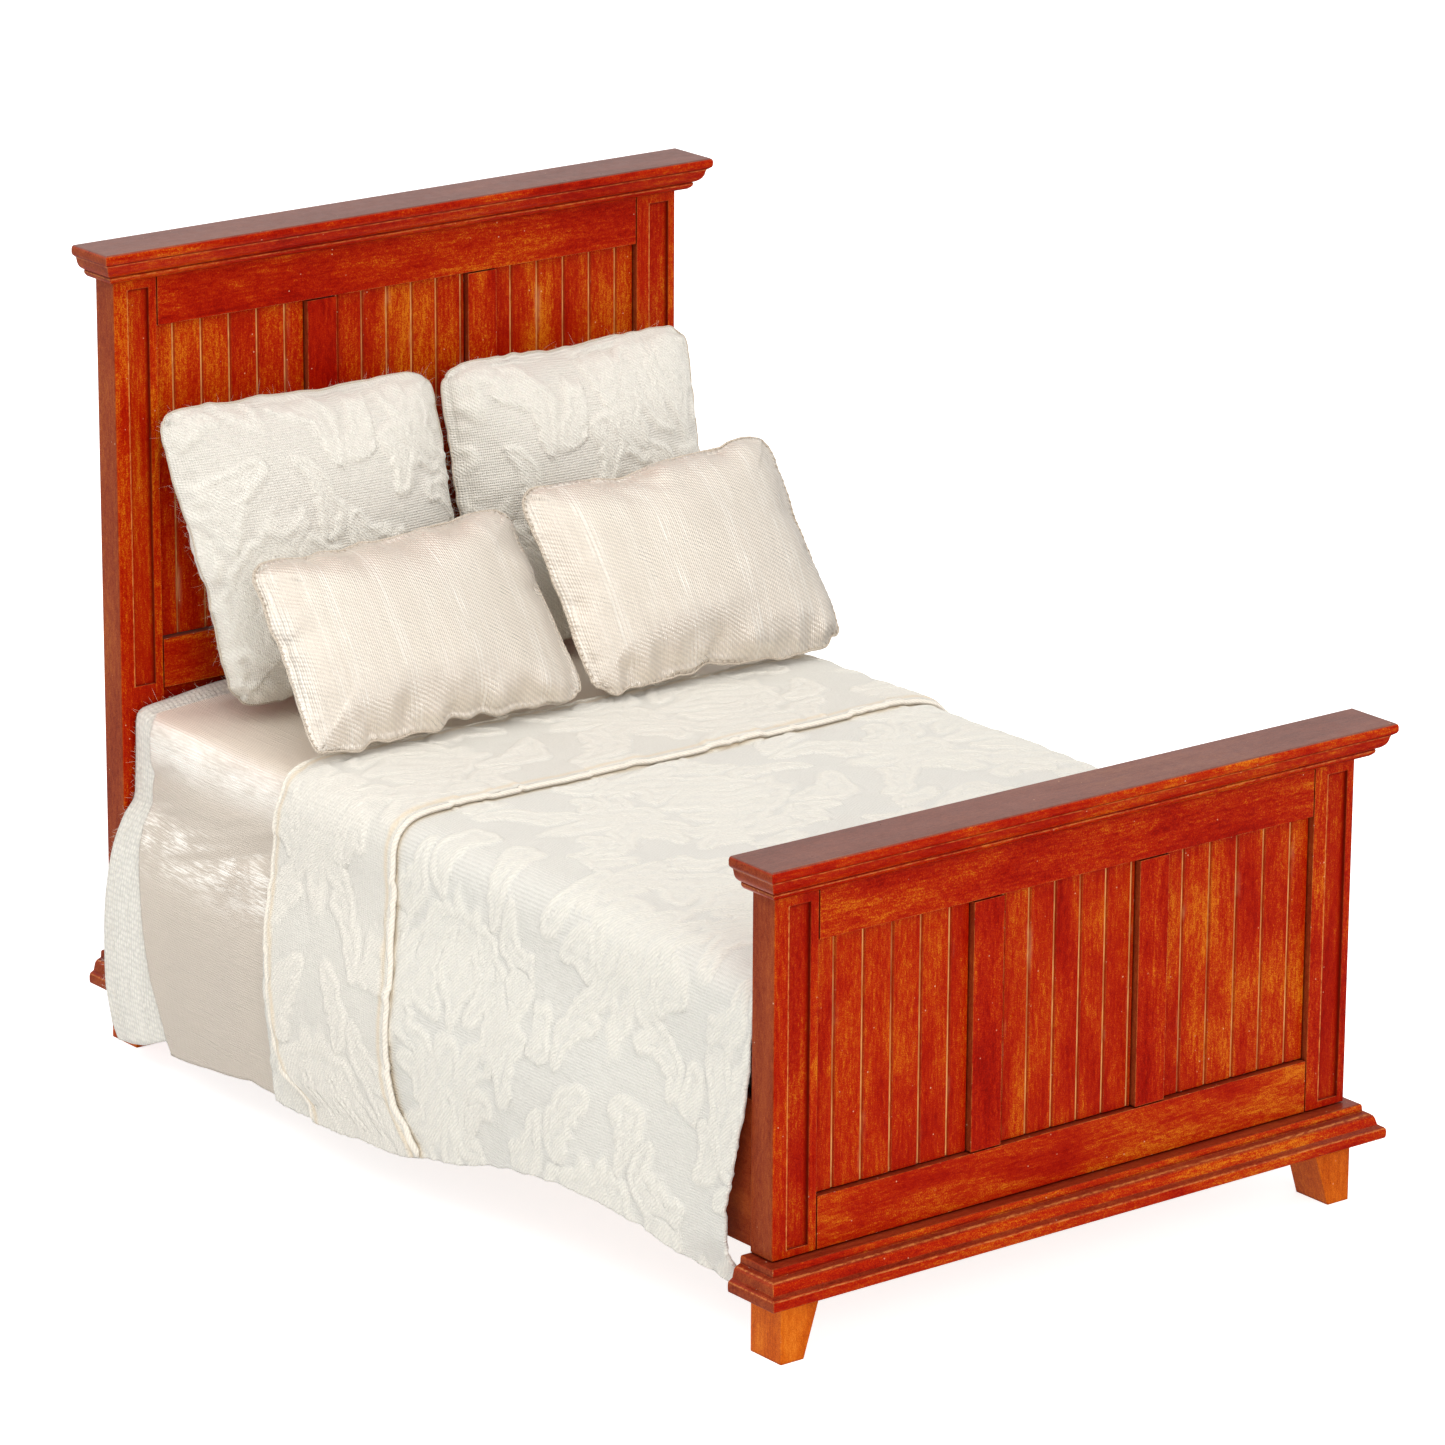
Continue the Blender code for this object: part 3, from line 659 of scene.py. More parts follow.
def swell(y, z, side):
    """How far every cloth stands out from its smooth section: soft folds that open towards the hem."""
    loose = smooth_step(z, 46.0, 12.0)
    folds = value_noise(y / 17.0 + z / 60.0, 1.7 + side, 21) + 0.5 * value_noise(y / 7.5, z / 40.0 + side, 22)
    top = ripple(y / 24.0, z / 24.0, 23) * 0.25
    return loose * (folds * 1.5 - 0.75) + top * smooth_step(z, 50.0, 56.0)


def new_mesh(name, verts, faces):
    mesh = bpy.data.meshes.new(name)
    mesh.from_pydata([tuple(v) for v in verts], [], faces)
    return mesh


def cover(mesh, material):
    mesh.materials.clear()
    mesh.materials.append(material)
    mesh.polygons.foreach_set("use_smooth", [True] * len(mesh.polygons))


def mesh_object(name, verts, faces, material):
    mesh = new_mesh(name, np.asarray(verts) * MM, faces)
    cover(mesh, material)
    return add_object(name, mesh)


def write(mesh, name, values, per_point="value", kind="FLOAT"):
    attribute = mesh.attributes.new(name, kind, "POINT")
    attribute.data.foreach_set(per_point, np.asarray(values, np.float32).ravel())


def write_vectors(mesh, name, values):
    write(mesh, name, values, "vector", "FLOAT_VECTOR")


def quads(index):
    """The four-cornered faces of a grid of point numbers."""
    return np.stack([index[:-1, :-1], index[:-1, 1:], index[1:, 1:], index[1:, :-1]], -1).reshape(-1, 4).tolist()


def ellipse(x, y, cx, cy, long, short, turn, lobes=0, depth=0.0):
    """Positive inside a turned ellipse, in millimetres from its outline, with a lobed edge if asked."""
    c, s = math.cos(math.radians(turn)), math.sin(math.radians(turn))
    a, b = (x - cx) * c + (y - cy) * s, -(x - cx) * s + (y - cy) * c
    radius = np.sqrt((a / long) ** 2 + (b / short) ** 2) + 1e-6
    if lobes:
        radius = radius * (1 + depth * np.cos(lobes * np.arctan2(b / short, a / long)))
    return (1 - radius) * min(long, short)


def frond(x, y, cx, cy, radius, start, sweep, width, lobes):
    """Positive inside a curved leaf that tapers at both ends: an arc with a scalloped edge."""
    a, b = x - cx, y - cy
    distance = np.hypot(a, b)
    share = (np.degrees(np.arctan2(b, a)) - start) % 360.0 / sweep
    swollen = width * np.sin(np.pi * np.clip(share, 0, 1)) ** 0.7
    swollen = swollen * (0.82 + 0.18 * np.abs(np.sin(np.pi * lobes * share)) * 2)
    return np.where(share <= 1, swollen - np.abs(distance - radius), -3.0)


# The figures of one half of the repeat, in millimetres from its middle
BLOSSOMS = ((0.0, 8.0, 6.8, 3.4, 90, 5, 0.16), (0.0, -5.0, 3.2, 2.6, 90, 4, 0.1), (0.0, -13.8, 4.0, 1.7, 90),
            (13.6, 6.5, 5.4, 2.2, 68, 4, 0.16), (15.6, -20.5, 3.6, 2.4, 80, 5, 0.14))
FRONDS = ((0.6, 6.5, 6.4, -70, 150, 2.1, 5), (2.2, 2.0, 8.4, -55, 105, 2.2, 5), (8.6, -9.0, 5.4, 60, 215, 1.9, 6),
          (9.2, -10.0, 2.3, 20, 200, 1.4, 3), (1.8, 16.6, 5.2, -40, 130, 1.7, 4), (15.6, 15.0, 4.8, 150, 190, 1.8, 5),
          (6.4, -20.5, 4.4, -30, 160, 1.6, 4), (17.2, -2.8, 3.6, 100, 160, 1.5, 3))


def damask(u, v):
    """The woven scroll pattern at (u, v) millimetres: about 1 on a raised figure and 0 on the ribbed ground."""
    u0, v0 = u, v
    u = u + ripple(u / 11.0, v / 11.0, 41) * 4.2 + ripple(u / 2.7, v / 2.7, 43) * 0.8
    v = v + ripple(u / 11.0 + 9.0, v / 11.0, 42) * 4.2 + ripple(u / 2.7, v / 2.7, 44) * 0.8
    width, height = 34.0, 46.0
    column = np.round(u / width)
    x = np.abs(u - width * column)
    y = v + (column % 2) * height / 2
    y = y - height * np.round(y / height)
    shapes = [ellipse(x, y, *shape) for shape in BLOSSOMS] + [frond(x, y, *shape) for shape in FRONDS]
    second, first = np.partition(np.stack(shapes), -2, axis=0)[-2:]
    inside = first + 0.55 + ripple(u0 / 0.9, v0 / 0.9, 45) * 0.5
    figure = smooth_step(inside, -0.8, 0.7)
    parted = np.exp(-((first - second) / 0.34) ** 2) * smooth_step(inside, 0.2, 0.7)
    inner = np.exp(-((inside - 1.45) / 0.26) ** 2)
    rim = np.exp(-((inside - 0.55) / 0.45) ** 2)
    valley = np.exp(-((inside + 0.55) / 0.4) ** 2)
    veins = np.sin(u * 2.1 + v * 1.1 + 2.0 * value_noise(u0 / 6.0, v0 / 6.0, 46))
    middle = smooth_step(inside, 0.8, 1.3)
    return (figure * 0.78 + rim * 0.26 - valley * 0.2 + middle * veins * 0.16 - 0.08 * middle - parted * 0.5
            - inner * 0.26)


def drape(name, offset, thickness, head_line, foot_line, material, across, along, under=0.0, folds=None,
          pattern=False, hem_shade_lines=(), turn_up=0.0):
    """A cloth laid over the bed and hanging down both sides. head_line and foot_line say where its two ends
    lie at each height, and under lifts the hem of a cloth that another one covers."""
    share, row = np.meshgrid(np.linspace(-1, 1, across), np.linspace(0, 1, along))
    side = np.where(share < 0, -1.0, 1.0)

    def along_bed(z):
        return line_at(z, foot_line) * (1 - row) + line_at(z, head_line) * row

    low_z = np.full(share.shape, 10.0)
    for _ in range(3):
        y_low = along_bed(low_z)
        low_z = np.where(side < 0, hem_height(y_low, -1), hem_height(y_low, 1)) + under
    down = np.interp(-low_z, -SECTION[:, 1], SECTION_AT)
    s = np.abs(share) * down
    y = along_bed(np.interp(s, SECTION_AT, SECTION[:, 1]))
    square = smooth_step(y, 60.0, 80.0)
    at_head = s * HEAD_AT[-1] / SECTION_AT[-1]
    x, z, nx, nz = [np.interp(s, SECTION_AT, usual) * (1 - square) + np.interp(at_head, HEAD_AT, squarer) * square
                    for usual, squarer in zip((*SECTION.T, *SECTION_NORMAL.T), (*HEAD.T, *HEAD_NORMAL.T))]
    y = along_bed(z)
    flat_x = share * down
    flat_y = foot_line[-1][1] * (1 - row) + head_line[-1][1] * row
    out = offset + np.where(side < 0, swell(y, z, -1), swell(y, z, 1))
    if folds:
        out = out + folds(y, z, flat_x)
    if pattern:
        relief = damask(flat_y / 1.2 + 7.0, flat_x / 1.3 + 12.0)
        out = out + relief * 0.33
    # The cloths ride up a little against the headboard.
    rise = smooth_step(y, 80.5, 85.6) * (turn_up + 1.5 * smooth_step(x, 54.0, 36.0))
    points = np.stack([side * (x + nx * out), y, z + nz * out + rise * smooth_step(z, 47.0, 56.0)], axis=-1)
    # The mask of a warm painted shade beside the cuff's hems, along the given lines.
    hem_shade = np.zeros(share.shape)
    for known, reach in hem_shade_lines:
        hem_shade = np.maximum(hem_shade, np.exp(-((y - line_at(z, known)) / reach) ** 2))
    piece = mesh_object(name, points.reshape(-1, 3), quads(np.arange(across * along).reshape(along, across)), material)
    write_vectors(piece.data, "cloth", np.stack([flat_x, flat_y, np.zeros_like(flat_x)], axis=-1))
    if pattern:
        write(piece.data, "relief", relief)
    write(piece.data, "hem_shade", hem_shade)
    shell = piece.modifiers.new("thickness", "SOLIDIFY")
    shell.thickness = thickness * MM
    shell.offset = 0.0
    shell.use_even_offset = False
    return piece, points


def tube(path, radius, sides=8, flat=1.0, up=(0.0, 0.0, 1.0), taper=True):
    """A round or flattened tube along a path, closed at both ends: its points, faces and places in the cloth."""
    path = np.asarray(path, float)
    tangent = unit(np.gradient(path, axis=0))
    across = unit(np.cross(tangent, np.broadcast_to(up, path.shape)))
    upward = np.cross(across, tangent)
    angles = np.arange(sides) * 2 * math.pi / sides
    sizes = np.ones((len(path), 1, 1))
    if taper:
        sizes[0] = sizes[-1] = 0.45
    rings = (path[:, None, :] + radius * sizes
             * (np.cos(angles)[None, :, None] * across[:, None, :]
                + flat * np.sin(angles)[None, :, None] * upward[:, None, :]))
    verts = rings.reshape(-1, 3)
    faces = []
    for k in range(len(path) - 1):
        for j in range(sides):
            a, b = k * sides + j, k * sides + (j + 1) % sides
            faces.append((a, b, b + sides, a + sides))
    faces += [tuple(range(sides))[::-1], tuple(range(len(verts) - sides, len(verts)))]
    flat_place = np.stack([np.repeat(distances(path), sides), np.tile(angles * radius, len(path)),
                           np.zeros(len(verts))], axis=-1)
    return verts, faces, flat_place


def joined(name, shapes, material):
    """One object from several (points, faces, places in the cloth) sets."""
    faces, count = [], 0
    for verts, shape_faces, _ in shapes:
        faces += [tuple(i + count for i in face) for face in shape_faces]
        count += len(verts)
    piece = mesh_object(name, np.vstack([shape[0] for shape in shapes]), faces, material)
    write_vectors(piece.data, "cloth", np.vstack([shape[2] for shape in shapes]))
    return piece


# ---------------------------------------------------------------- the four cloths over the bed
# Each line is a table of (height, place along the bed), from the hem up.
TERRY_HEAD = ((3.0, 81.6), (6.0, 83.6), (12.0, 85.0), (24.0, 85.7), (40.0, 85.9), (56.0, 85.9))
SHEET_HEAD = ((6.0, 65.0), (7.9, 66.4), (17.0, 70.8), (29.8, 74.6), (39.7, 78.6), (48.0, 80.2), (54.0, 80.4),
              (56.0, 80.6), (56.5, 82.0), (56.85, 84.6), (57.0, 84.9))
CUFF_HEAD = ((8.0, 18.9), (11.5, 20.0), (14.0, 27.6), (18.0, 30.4), (23.9, 32.4), (30.9, 35.3), (38.7, 38.4),
             (44.3, 40.4), (50.0, 41.2), (54.0, 41.8), (56.0, 43.4))
CUFF_FOOT = ((8.0, -9.4), (12.0, -7.4), (17.0, -2.0), (23.7, 1.2), (33.0, 3.0), (42.5, 7.1), (51.0, 9.9),
             (54.5, 11.2), (56.0, 11.8))
COVER_FOOT = ((8.0, -80.6), (10.5, -80.4), (16.0, -79.0), (22.5, -78.6), (28.8, -79.3), (34.0, -80.1),
              (37.6, -80.7), (56.0, -80.7))


def straight(y, drop):
    return ((3.0, y - drop), (40.0, y - drop * 0.25), (56.0, y))


def sheet_folds(y, z, flat_x):
    """Shallow drag lines where the satin turns from the mattress towards the floor."""
    band = smooth_step(z, 34.0, 41.0) * smooth_step(z, 53.0, 47.0)
    lines = ripple((z + y * 0.34) / 3.3, y / 22.0, 61)
    low = smooth_step(z, 30.0, 14.0) * ripple(y / 6.0, z / 30.0, 62)
    fine = ripple((z + y * 0.3) / 1.3, y / 9.0, 63) * 0.35 * band
    return (band * lines * 1.7 + fine + low * 0.5) * smooth_step(y, 40.0, 48.0)


def cover_folds(y, z, flat_x):
    """Slight lumps and puckers in the coverlet, which is drawn in towards the foot of the bed."""
    lumps = smooth_step(z, 50.0, 55.5) * ripple(flat_x / 15.0, y / 15.0, 71) * 0.45
    tucked = 4.3 * (smooth_step(z, 50.0, 26.0) * smooth_step(y, -44.0, -74.0))
    tucked = tucked + 2.4 * smooth_step(z, 18.0, 10.0) * smooth_step(y, -64.0, -79.0)
    return lumps - tucked + ripple(flat_x / 3.2, y / 3.2, 72) * 0.22


def grid(across, along):
    """How many points a cloth has each way."""
    return ((across, along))


terry_cloth, terry_grid = drape("terry_cloth", 0.0, 0.7, TERRY_HEAD, straight(32.0, 4.0), TERRY, *grid(360, 130),
                                turn_up=1.5)
sheet_cloth, _ = drape("sheet_cloth", 0.95, 0.4, SHEET_HEAD, straight(8.0, 12.0), SHEET_SATIN, *grid(420, 190),
                       folds=sheet_folds, hem_shade_lines=((CUFF_HEAD, 0.9),))
cover_cloth, _ = drape("coverlet_cloth", 1.9, 0.7, straight(43.5, 14.0), COVER_FOOT, BROCADE, *grid(560, 330),
                       folds=cover_folds, pattern=True, hem_shade_lines=((CUFF_FOOT, 0.9),))
beside_hems = ((np.array(CUFF_FOOT) + (0, 1.1), 0.5), (np.array(CUFF_HEAD) - (0, 1.1), 0.5))
cuff_cloth, cuff_grid = drape("cuff_cloth", 3.05, 0.7, CUFF_HEAD, CUFF_FOOT, CUFF_BROCADE, *grid(560, 90), 0.3,
                              folds=cover_folds, pattern=True, hem_shade_lines=beside_hems)

# The cuff's rolled hems take every second point of its two ends.
head_tangent = np.gradient(cuff_grid[-1], axis=0)
outward = unit(np.column_stack([-head_tangent[:, 2], np.zeros(len(head_tangent)), head_tangent[:, 0]]))
head_path = cuff_grid[-1] + outward * -0.12
foot_path = cuff_grid[0] + outward * -0.22 + np.array([0, 0.1, 0])
head_hem = joined("cuff_head_hem", [tube(head_path[::2], 0.62, 10, 0.95, outward[::2])], HEM)
foot_hem = joined("cuff_foot_hem", [tube(foot_path[::2], 0.74, 10, 0.66, outward[::2])], HEM)

# ---------------------------------------------------------------- mattress
low, high = [np.array(corner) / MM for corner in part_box("mattress")]
middle, size = (high + low) / 2, high - low
bm = bmesh.new()
bmesh.ops.create_cube(bm, size=1.0)
bmesh.ops.scale(bm, vec=tuple(size - 0.4), verts=bm.verts)
bmesh.ops.translate(bm, vec=tuple(middle), verts=bm.verts)
bmesh.ops.bevel(bm, geom=bm.edges[:], offset=3.4, segments=4, profile=0.6, affect="EDGES")
bmesh.ops.subdivide_edges(bm, edges=[e for e in bm.edges if e.calc_length() > 30], cuts=23, use_grid_fill=True)
bm.verts.ensure_lookup_table()
for vert in bm.verts:
    du, dv = (vert.co.x - middle[0]) / 17.0, (vert.co.y - middle[1]) / 20.0
    tuft = math.exp(-((du - round(du)) ** 2 + (dv - round(dv)) ** 2) * 60.0)
    if abs(vert.co.z - middle[2]) > size[2] / 2 - 0.5:
        vert.co.z += math.copysign(1.0, middle[2] - vert.co.z) * 0.8 * tuft
bmesh.ops.recalc_face_normals(bm, faces=bm.faces)
mattress_pad = mesh_object("mattress_pad", [v.co for v in bm.verts], [[v.index for v in f.verts] for f in bm.faces],
                           ticking("mattress_ticking_stripe"))
bm.free()


def rounded_loop(z, inset=0.65, corner=3.0):
    """A level loop round the mattress, a little inside its box."""
    points = []
    for ends, start in (((1, 1), 0), ((0, 1), 90), ((0, 0), 180), ((1, 0), 270)):
        cx, cy = [high[k] - inset - corner if end else low[k] + inset + corner for k, end in enumerate(ends)]
        for turn in np.radians(np.linspace(start, start + 90, 9)):
            points.append((cx + corner * math.cos(turn), cy + corner * math.sin(turn), z))
    return points + points[:1]


mattress_piping = joined("mattress_piping", [tube(rounded_loop(z), 0.5, taper=False)
                                             for z in (low[2] + 1.6, high[2] - 1.6)], HEM)

# ---------------------------------------------------------------- pillows
# Corners (x, height up the pillow) anticlockwise from the bottom left, thickness, (y, z) of the lower edge, lean
PILLOWS = {
    "euro_left": (((-45.0, 0.0), (3.2, 0.0), (2.0, 50.2), (-53.6, 51.0)), 17.0, (71.2, 59.6), 11.5),
    "euro_right": (((3.9, 0.0), (54.8, 0.0), (55.2, 50.4), (2.9, 50.0)), 17.0, (71.2, 59.6), 11.5),
    "satin_left": (((-51.6, 0.0), (3.0, 0.0), (3.8, 37.6), (-48.2, 36.2)), 13.0, (38.6, 60.5), 41.5),
    "satin_right": (((4.6, 0.0), (57.0, 0.0), (58.4, 40.4), (4.6, 38.6)), 13.0, (38.8, 60.5), 36.5),
}
# Material, share of the simulated outline kept, and the size of puckers, creases, gathers and scallops
PILLOW_CLOTHS = {"satin": (PILLOW_SATIN, 0.30, 0.55, 1.0, 2.4, 1.3),
                 "euro": (PILLOW_BROCADE, 0.16, 0.7, 0.7, 0.8, 0.5)}
# The height of the dressed bed's top at each place along it, and the headboard's front
BED_TOP = ((30.0, 59.9), (43.0, 59.9), (47.0, 57.7), (52.0, 57.6), (80.0, 58.7), (90.0, 59.0))
HEADBOARD_Y = 86.2


def between(corners, u, v):
    """The points at (u, v), each from -1 to 1, inside four corners."""
    a, b = ((u + 1) / 2)[..., None], ((v + 1) / 2)[..., None]
    bl, br, tr, tl = corners
    return (1 - a) * (1 - b) * bl + a * (1 - b) * br + a * b * tr + (1 - a) * b * tl


def pillow_shell(corners, thickness, n=40):
    """Front and back sheets of n by n faces that share their outline: points, faces, each point's (u, v, side)
    and the numbers of the points on the two grids."""
    places = np.linspace(-1, 1, n + 1)
    u, v = np.meshgrid(places, places)
    spot = between(corners, u, v)
    puff = np.sqrt(np.clip((1 - np.abs(u) ** 2.4) * (1 - np.abs(v) ** 2.4), 0, 1))
    front = np.stack([spot[..., 0], -puff * thickness / 2, spot[..., 1]], axis=-1)
    inner = np.s_[1:-1, 1:-1]
    back = front[inner] * np.array([1, -1, 1])
    side = np.zeros_like(u)
    side[inner] = 1.0
    places = np.stack([u, v, side], -1)
    front_index = np.arange((n + 1) ** 2).reshape(n + 1, n + 1)
    back_index = front_index.copy()
    back_index[inner] = (n + 1) ** 2 + np.arange((n - 1) ** 2).reshape(n - 1, n - 1)
    points = np.vstack([front.reshape(-1, 3), back.reshape(-1, 3)])
    places = np.vstack([places.reshape(-1, 3), (places[inner] * np.array([1, 1, -1])).reshape(-1, 3)])
    faces = quads(front_index) + [quad[::-1] for quad in quads(back_index)]
    return points, faces, places, front_index, back_index


def evaluated(piece):
    return piece.evaluated_get(bpy.context.evaluated_depsgraph_get())


def read_vectors(values, key):
    found = np.empty(len(values) * 3, np.float32)
    values.foreach_get(key, found)
    return found.reshape(-1, 3).astype(float)


def simulate(points, faces, seed):
    """Fills the shell with air as cloth, ten times enlarged, and returns its settled points."""
    enlarged, last_frame = 10.0, 26
    flat = points.copy()
    flat[:, 1] *= 0.30
    flat[:, 1] += ripple(points[:, 0] / 4.0, points[:, 2] / 4.0, seed) * 0.5
    bladder = add_object("bladder", new_mesh("bladder", flat * MM * enlarged, faces))
    cloth = bladder.modifiers.new("cloth", "CLOTH")
    settings = cloth.settings
    settings.quality = 6
    settings.mass = 0.25
    settings.tension_stiffness = settings.compression_stiffness = 18.0
    settings.shear_stiffness = 6.0
    settings.bending_stiffness = 0.25
    settings.air_damping = 4.0
    settings.use_pressure = True
    settings.uniform_pressure_force = 5.0
    settings.effector_weights.gravity = 0.0
    cloth.collision_settings.use_collision = False
    scene.frame_start, scene.frame_end = 1, last_frame
    for number in range(1, last_frame + 1):
        scene.frame_set(number)
    found = read_vectors(evaluated(bladder).data.vertices, "co")
    bpy.data.objects.remove(bladder)
    scene.frame_set(1)
    return found / (MM * enlarged)


def refit(points, places, grids, corners, thickness, share):
    """Bends the settled pillow's plane so that its four corners meet the wanted ones, and sets its thickness."""
    ends = grids[0][[0, 0, -1, -1], [0, -1, -1, 0]]
    plane = points[:, [0, 2]]
    old = plane[ends]
    u, v = np.zeros((2, len(points)))
    for _ in range(12):
        a, b = ((u + 1) / 2)[:, None], ((v + 1) / 2)[:, None]
        along_u = ((1 - b) * (old[1] - old[0]) + b * (old[2] - old[3])) / 2
        along_v = ((1 - a) * (old[3] - old[0]) + a * (old[2] - old[1])) / 2
        gap = plane - between(old, u, v)
        det = along_u[:, 0] * along_v[:, 1] - along_u[:, 1] * along_v[:, 0]
        u = u + (gap[:, 0] * along_v[:, 1] - gap[:, 1] * along_v[:, 0]) / det
        v = v + (along_u[:, 0] * gap[:, 1] - along_u[:, 1] * gap[:, 0]) / det
    across, up = np.abs(places[:, 0]), np.abs(places[:, 1])
    corner = (across * up) ** 9
    u = (u * share + places[:, 0] * (1 - share)) * (1 - 0.08 * corner)
    v = (v * share + places[:, 1] * (1 - share)) * (1 - 0.11 * corner)
    spot = between(corners, u, v)
    depth = points[:, 1] - (points[:, 1].max() + points[:, 1].min()) / 2
    depth = depth * thickness / (depth.max() - depth.min())
    cushion = -np.sign(places[:, 2]) * thickness / 2 * np.clip((1 - across ** 3.0) * (1 - up ** 3.0), 0, 1) ** 0.55
    depth = depth * 0.5 + cushion * 0.5
    for index in grids:
        sheet = depth[index]
        for _ in range(5):
            sheet[1:-1, 1:-1] = (sheet[1:-1, 1:-1] * 2 + sheet[:-2, 1:-1] + sheet[2:, 1:-1]
                                 + sheet[1:-1, :-2] + sheet[1:-1, 2:]) / 6
        depth[index] = sheet
    return np.column_stack([spot[:, 0], depth, spot[:, 1]])


def pushed(depth, reach, give):
    """How far a soft thing yields when it would go this deep into a hard one."""
    return np.where(depth > -reach, (depth + reach) ** 2 / (depth + reach + give), 0.0)


def make_pillow(key, name, seed):
    corners, thickness, foot, lean = PILLOWS[key]
    corners = np.array(corners)
    material, share, pucker_size, crease_size, gather_size, scallop_size = PILLOW_CLOTHS[key.split("_")[0]]
    points, faces, places, *grids = pillow_shell(corners, thickness)
    points = refit(simulate(points, faces, seed), places, grids, corners, thickness, share)
    rough = add_object(key + "_rough", new_mesh(key, points, faces))
    write_vectors(rough.data, "place", places)
    finer = rough.modifiers.new("finer", "SUBSURF")
    finer.levels = finer.render_levels = 2
    finer.boundary_smooth = "PRESERVE_CORNERS"
    bpy.context.view_layer.update()
    fine = bpy.data.meshes.new_from_object(evaluated(rough))
    bpy.data.objects.remove(rough)
    co, normal = read_vectors(fine.vertices, "co"), read_vectors(fine.vertices, "normal")
    place = read_vectors(fine.attributes["place"].data, "vector")
    still = np.zeros(len(co))
    width = np.linalg.norm(corners[1] - corners[0]) / 2
    tall = np.linalg.norm(corners[3] - corners[0]) / 2
    u, v, side = place.T
    from_side, from_end = (1 - np.abs(u)) * width, (1 - np.abs(v)) * tall
    edge = np.minimum(from_side, from_end)
    flat = np.column_stack([u * width + seed * 11.0, v * tall + seed * 5.0, still])
    # A turned seam stands out as a thin lip round the outline, with puckers beside it.
    lip = np.exp(-(edge / 0.55) ** 2)
    outline = unit(np.column_stack([co[:, 0] - co[:, 0].mean(), still, co[:, 2] - co[:, 2].mean()]))
    co += outline * (lip * 0.5)[:, None]
    around = np.where(from_side < from_end, flat[:, 1], flat[:, 0])
    pucker = ripple(around / 1.7, side + 3.0, seed + 3) * np.exp(-((edge - 1.4) / 1.7) ** 2)
    creases = ripple(around / 4.2, edge / 9.0, seed + 4) * np.exp(-((edge - 4.0) / 4.0) ** 2)
    gathers = ripple(u * width / 3.1, v * 0.6, seed + 6) * np.exp(-((edge - 2.2) / 3.0) ** 2)
    gathers = gathers * smooth_step(v, -0.4, -0.8) * gather_size
    co[:, 2] += ripple(u * width / 3.1, still, seed + 6) * smooth_step(v, -0.8, -1.0) * scallop_size
    lumps = ripple(flat[:, 0] / 9.0, flat[:, 1] / 9.0 + side * 7, seed + 5)
    co += normal * (pucker * pucker_size + creases * crease_size + lumps * 0.6 + gathers)[:, None]
    if material is PILLOW_BROCADE:
        relief = damask(flat[:, 0] / 1.25, flat[:, 1] / 1.35 + 9.0)
        co += normal * (relief * 0.5 * smooth_step(edge, 0.3, 2.0))[:, None]
    middle_x = np.array([corners[:, 0].sum() / 4, 0, 0])
    turn = np.array(Matrix.Rotation(math.radians(-lean), 3, "X"))
    co = (co - middle_x) @ turn.T + middle_x + np.array([0, *foot])
    # It is flat only where it rests: on the bed, and the back pair also against the headboard.
    floor_z = line_at(co[:, 1], BED_TOP)
    co[:, 2] += pushed(floor_z - co[:, 2], 1.0, 1.2)
    co[:, 2] = np.maximum(co[:, 2], floor_z + 0.12)
    co[:, 1] -= pushed(co[:, 1] - HEADBOARD_Y, 1.2, 1.0)
    co[:, 1] = np.minimum(co[:, 1], HEADBOARD_Y)
    fine.vertices.foreach_set("co", (co * MM).astype(np.float32).ravel())
    fine.update()
    fine.name = name
    cover(fine, material)
    write_vectors(fine, "cloth", flat)
    if material is PILLOW_BROCADE:
        write(fine, "relief", relief)
    fine.attributes.remove(fine.attributes["place"])
    return add_object(name, fine), co, place


def seam_path(co, place, near=0.9985):
    """The pillow's outline as an ordered closed ring of points."""
    u, v, side = place.T
    found = np.where((np.abs(side) < 0.001) & ((np.abs(u) > near) | (np.abs(v) > near)))[0]
    u, v = u[found], v[found]
    around = np.select([v <= -near, u >= near, v >= near], [u + 1, v + 3, 5 - u], 7 - v)
    return co[found[np.argsort(around)]]


def whip_stitches(name, ring, pitch=1.3, reach=0.55, thickness=0.12):
    """Short slanted stitches wrapped over a seam."""
    closed = np.vstack([ring, ring[:1]])
    length = distances(closed)
    count = int(length[-1] / pitch)
    stitches = []
    for k in range(count):
        at = (k + 0.5) * length[-1] / count
        spot, ahead = [np.array([np.interp(place, length, values) for values in closed.T])
                       for place in (at, (at + 0.6) % length[-1])]
        way = unit(ahead - spot)
        inward = ring.mean(0) - spot
        inward = unit(inward - way * (inward @ way))
        across = np.cross(way, inward)
        path = []
        for turn in np.linspace(-1, 1, 9):
            a = math.radians(turn * 115)
            path.append(spot + inward * reach * (0.55 - math.cos(a) * 0.75) + across * reach * 0.62 * math.sin(a)
                        + way * pitch * 0.42 * turn)
        stitches.append(tube(path, thickness, 5, up=way))
    return joined(name, stitches, STITCH)


def fibres(name, roots, ways, lengths, seed, radius):
    """Loose curled ends of thread that stand off a cloth."""
    draw = np.random.default_rng(seed)
    parts = []
    for root, way, length in zip(roots, ways, lengths):
        bend = draw.normal(0, 0.8, 3)
        path = [root + way * length * share + bend * length * share ** 2 for share in np.linspace(0, 1, 6)]
        parts.append(tube(path, radius, 3))
    return joined(name, parts, FIBRE)


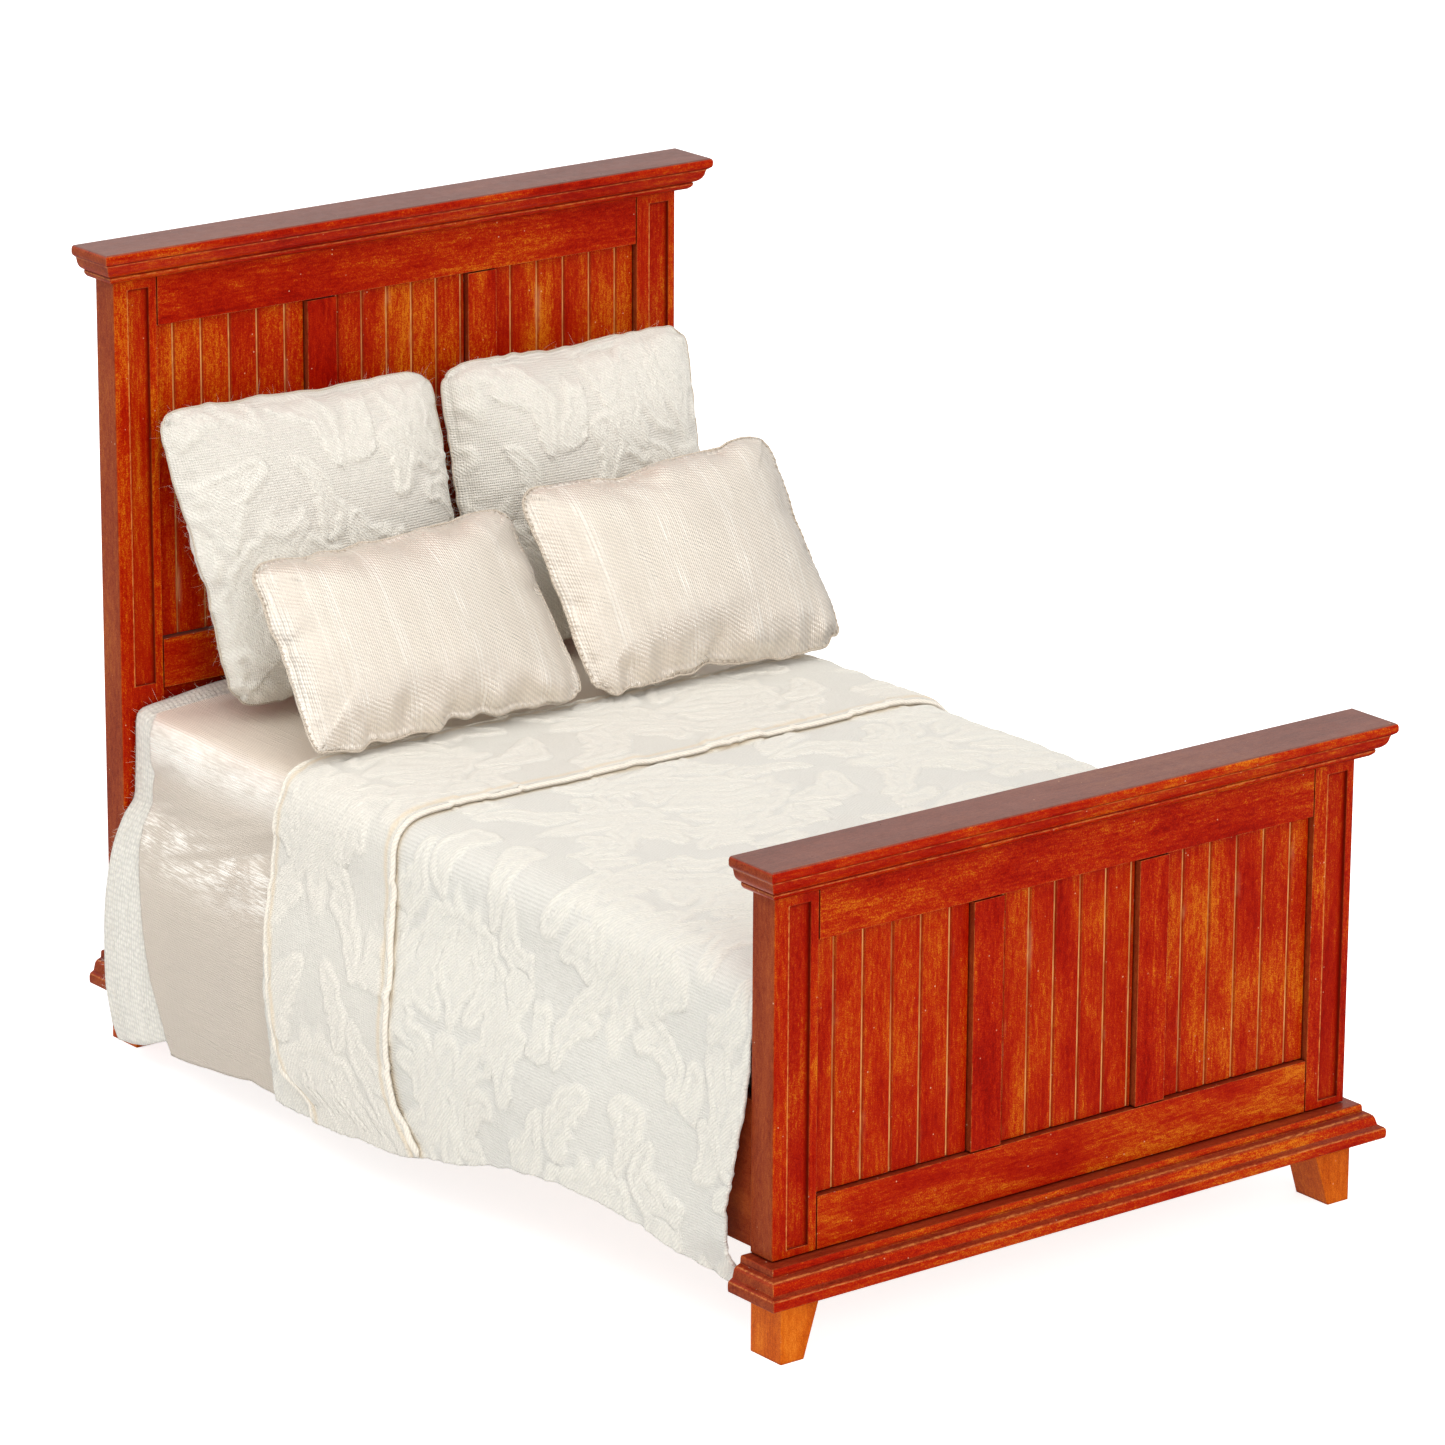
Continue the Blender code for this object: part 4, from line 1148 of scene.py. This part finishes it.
pillow_pieces = {}
fewer = 1
for number, key in enumerate(PILLOWS):
    name = key.replace("_", "_cushion_")
    soft = key.startswith("euro")
    piece, co, place = make_pillow(key, name, number + 1)
    ring = seam_path(co, place)
    extras = [joined(name + "_seam", [tube(np.vstack([ring, ring[:2]]), 0.2, 6, taper=False)], STITCH)]
    if not soft:
        extras.append(whip_stitches(name + "_stitches", ring))
    draw = np.random.default_rng(90 + number)
    from_edge = 1 - np.abs(place[:, :2]).max(axis=1)
    near = np.where((from_edge < 0.09) & (co[:, 2] > 61.5) & (co[:, 1] < 83.5))[0]
    picked = draw.choice(near, (min(1500, len(near)) if soft else 150) // fewer, replace=False)
    ways = co[picked] - co.mean(0)
    ways[:, 1] *= 0.6
    ways = unit(ways) + draw.normal(0, 0.45, (len(picked), 3))
    ways[:, 1] = -np.abs(ways[:, 1])
    lengths = draw.uniform(0.3, 1.0, len(picked)) ** 2 * (1.15 if soft else 0.7)
    extras.append(fibres(name + "_fibres", co[picked], ways, lengths, 190 + number, 0.010))
    pillow_pieces[key] = (piece, extras)

draw = np.random.default_rng(77)
edge_points = np.vstack([terry_grid[-2], terry_grid[-6]])
outer = edge_points[(edge_points[:, 2] > 6) & ((np.abs(edge_points[:, 0]) > 30) | (edge_points[:, 2] > 57))]
picked = outer[draw.integers(0, len(outer), 2600 // fewer)]
ways = np.column_stack([np.sign(picked[:, 0]) * 0.9, draw.normal(-0.2, 0.4, len(picked)),
                        draw.normal(0.5, 0.5, len(picked))])
terry_fibres = fibres("terry_fibres", picked, ways, draw.uniform(0.3, 1.05, len(picked)) ** 1.6, 78, 0.016)

# ---------------------------------------------------------------- riding and standing for
for piece in (terry_cloth, sheet_cloth, cover_cloth, cuff_cloth, head_hem, foot_hem, mattress_pad, mattress_piping,
              terry_fibres):
    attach(piece, "bedding")
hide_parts("terry_blanket")
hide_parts("satin_sheet")
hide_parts("coverlet")
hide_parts("coverlet_cuff")
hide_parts("mattress")
for key, (piece, extras) in pillow_pieces.items():
    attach(piece, key)
    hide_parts(key.split("_")[0] + "_pillow_" + key.split("_")[1])
    for extra in extras:
        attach(extra, key)

low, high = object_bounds()
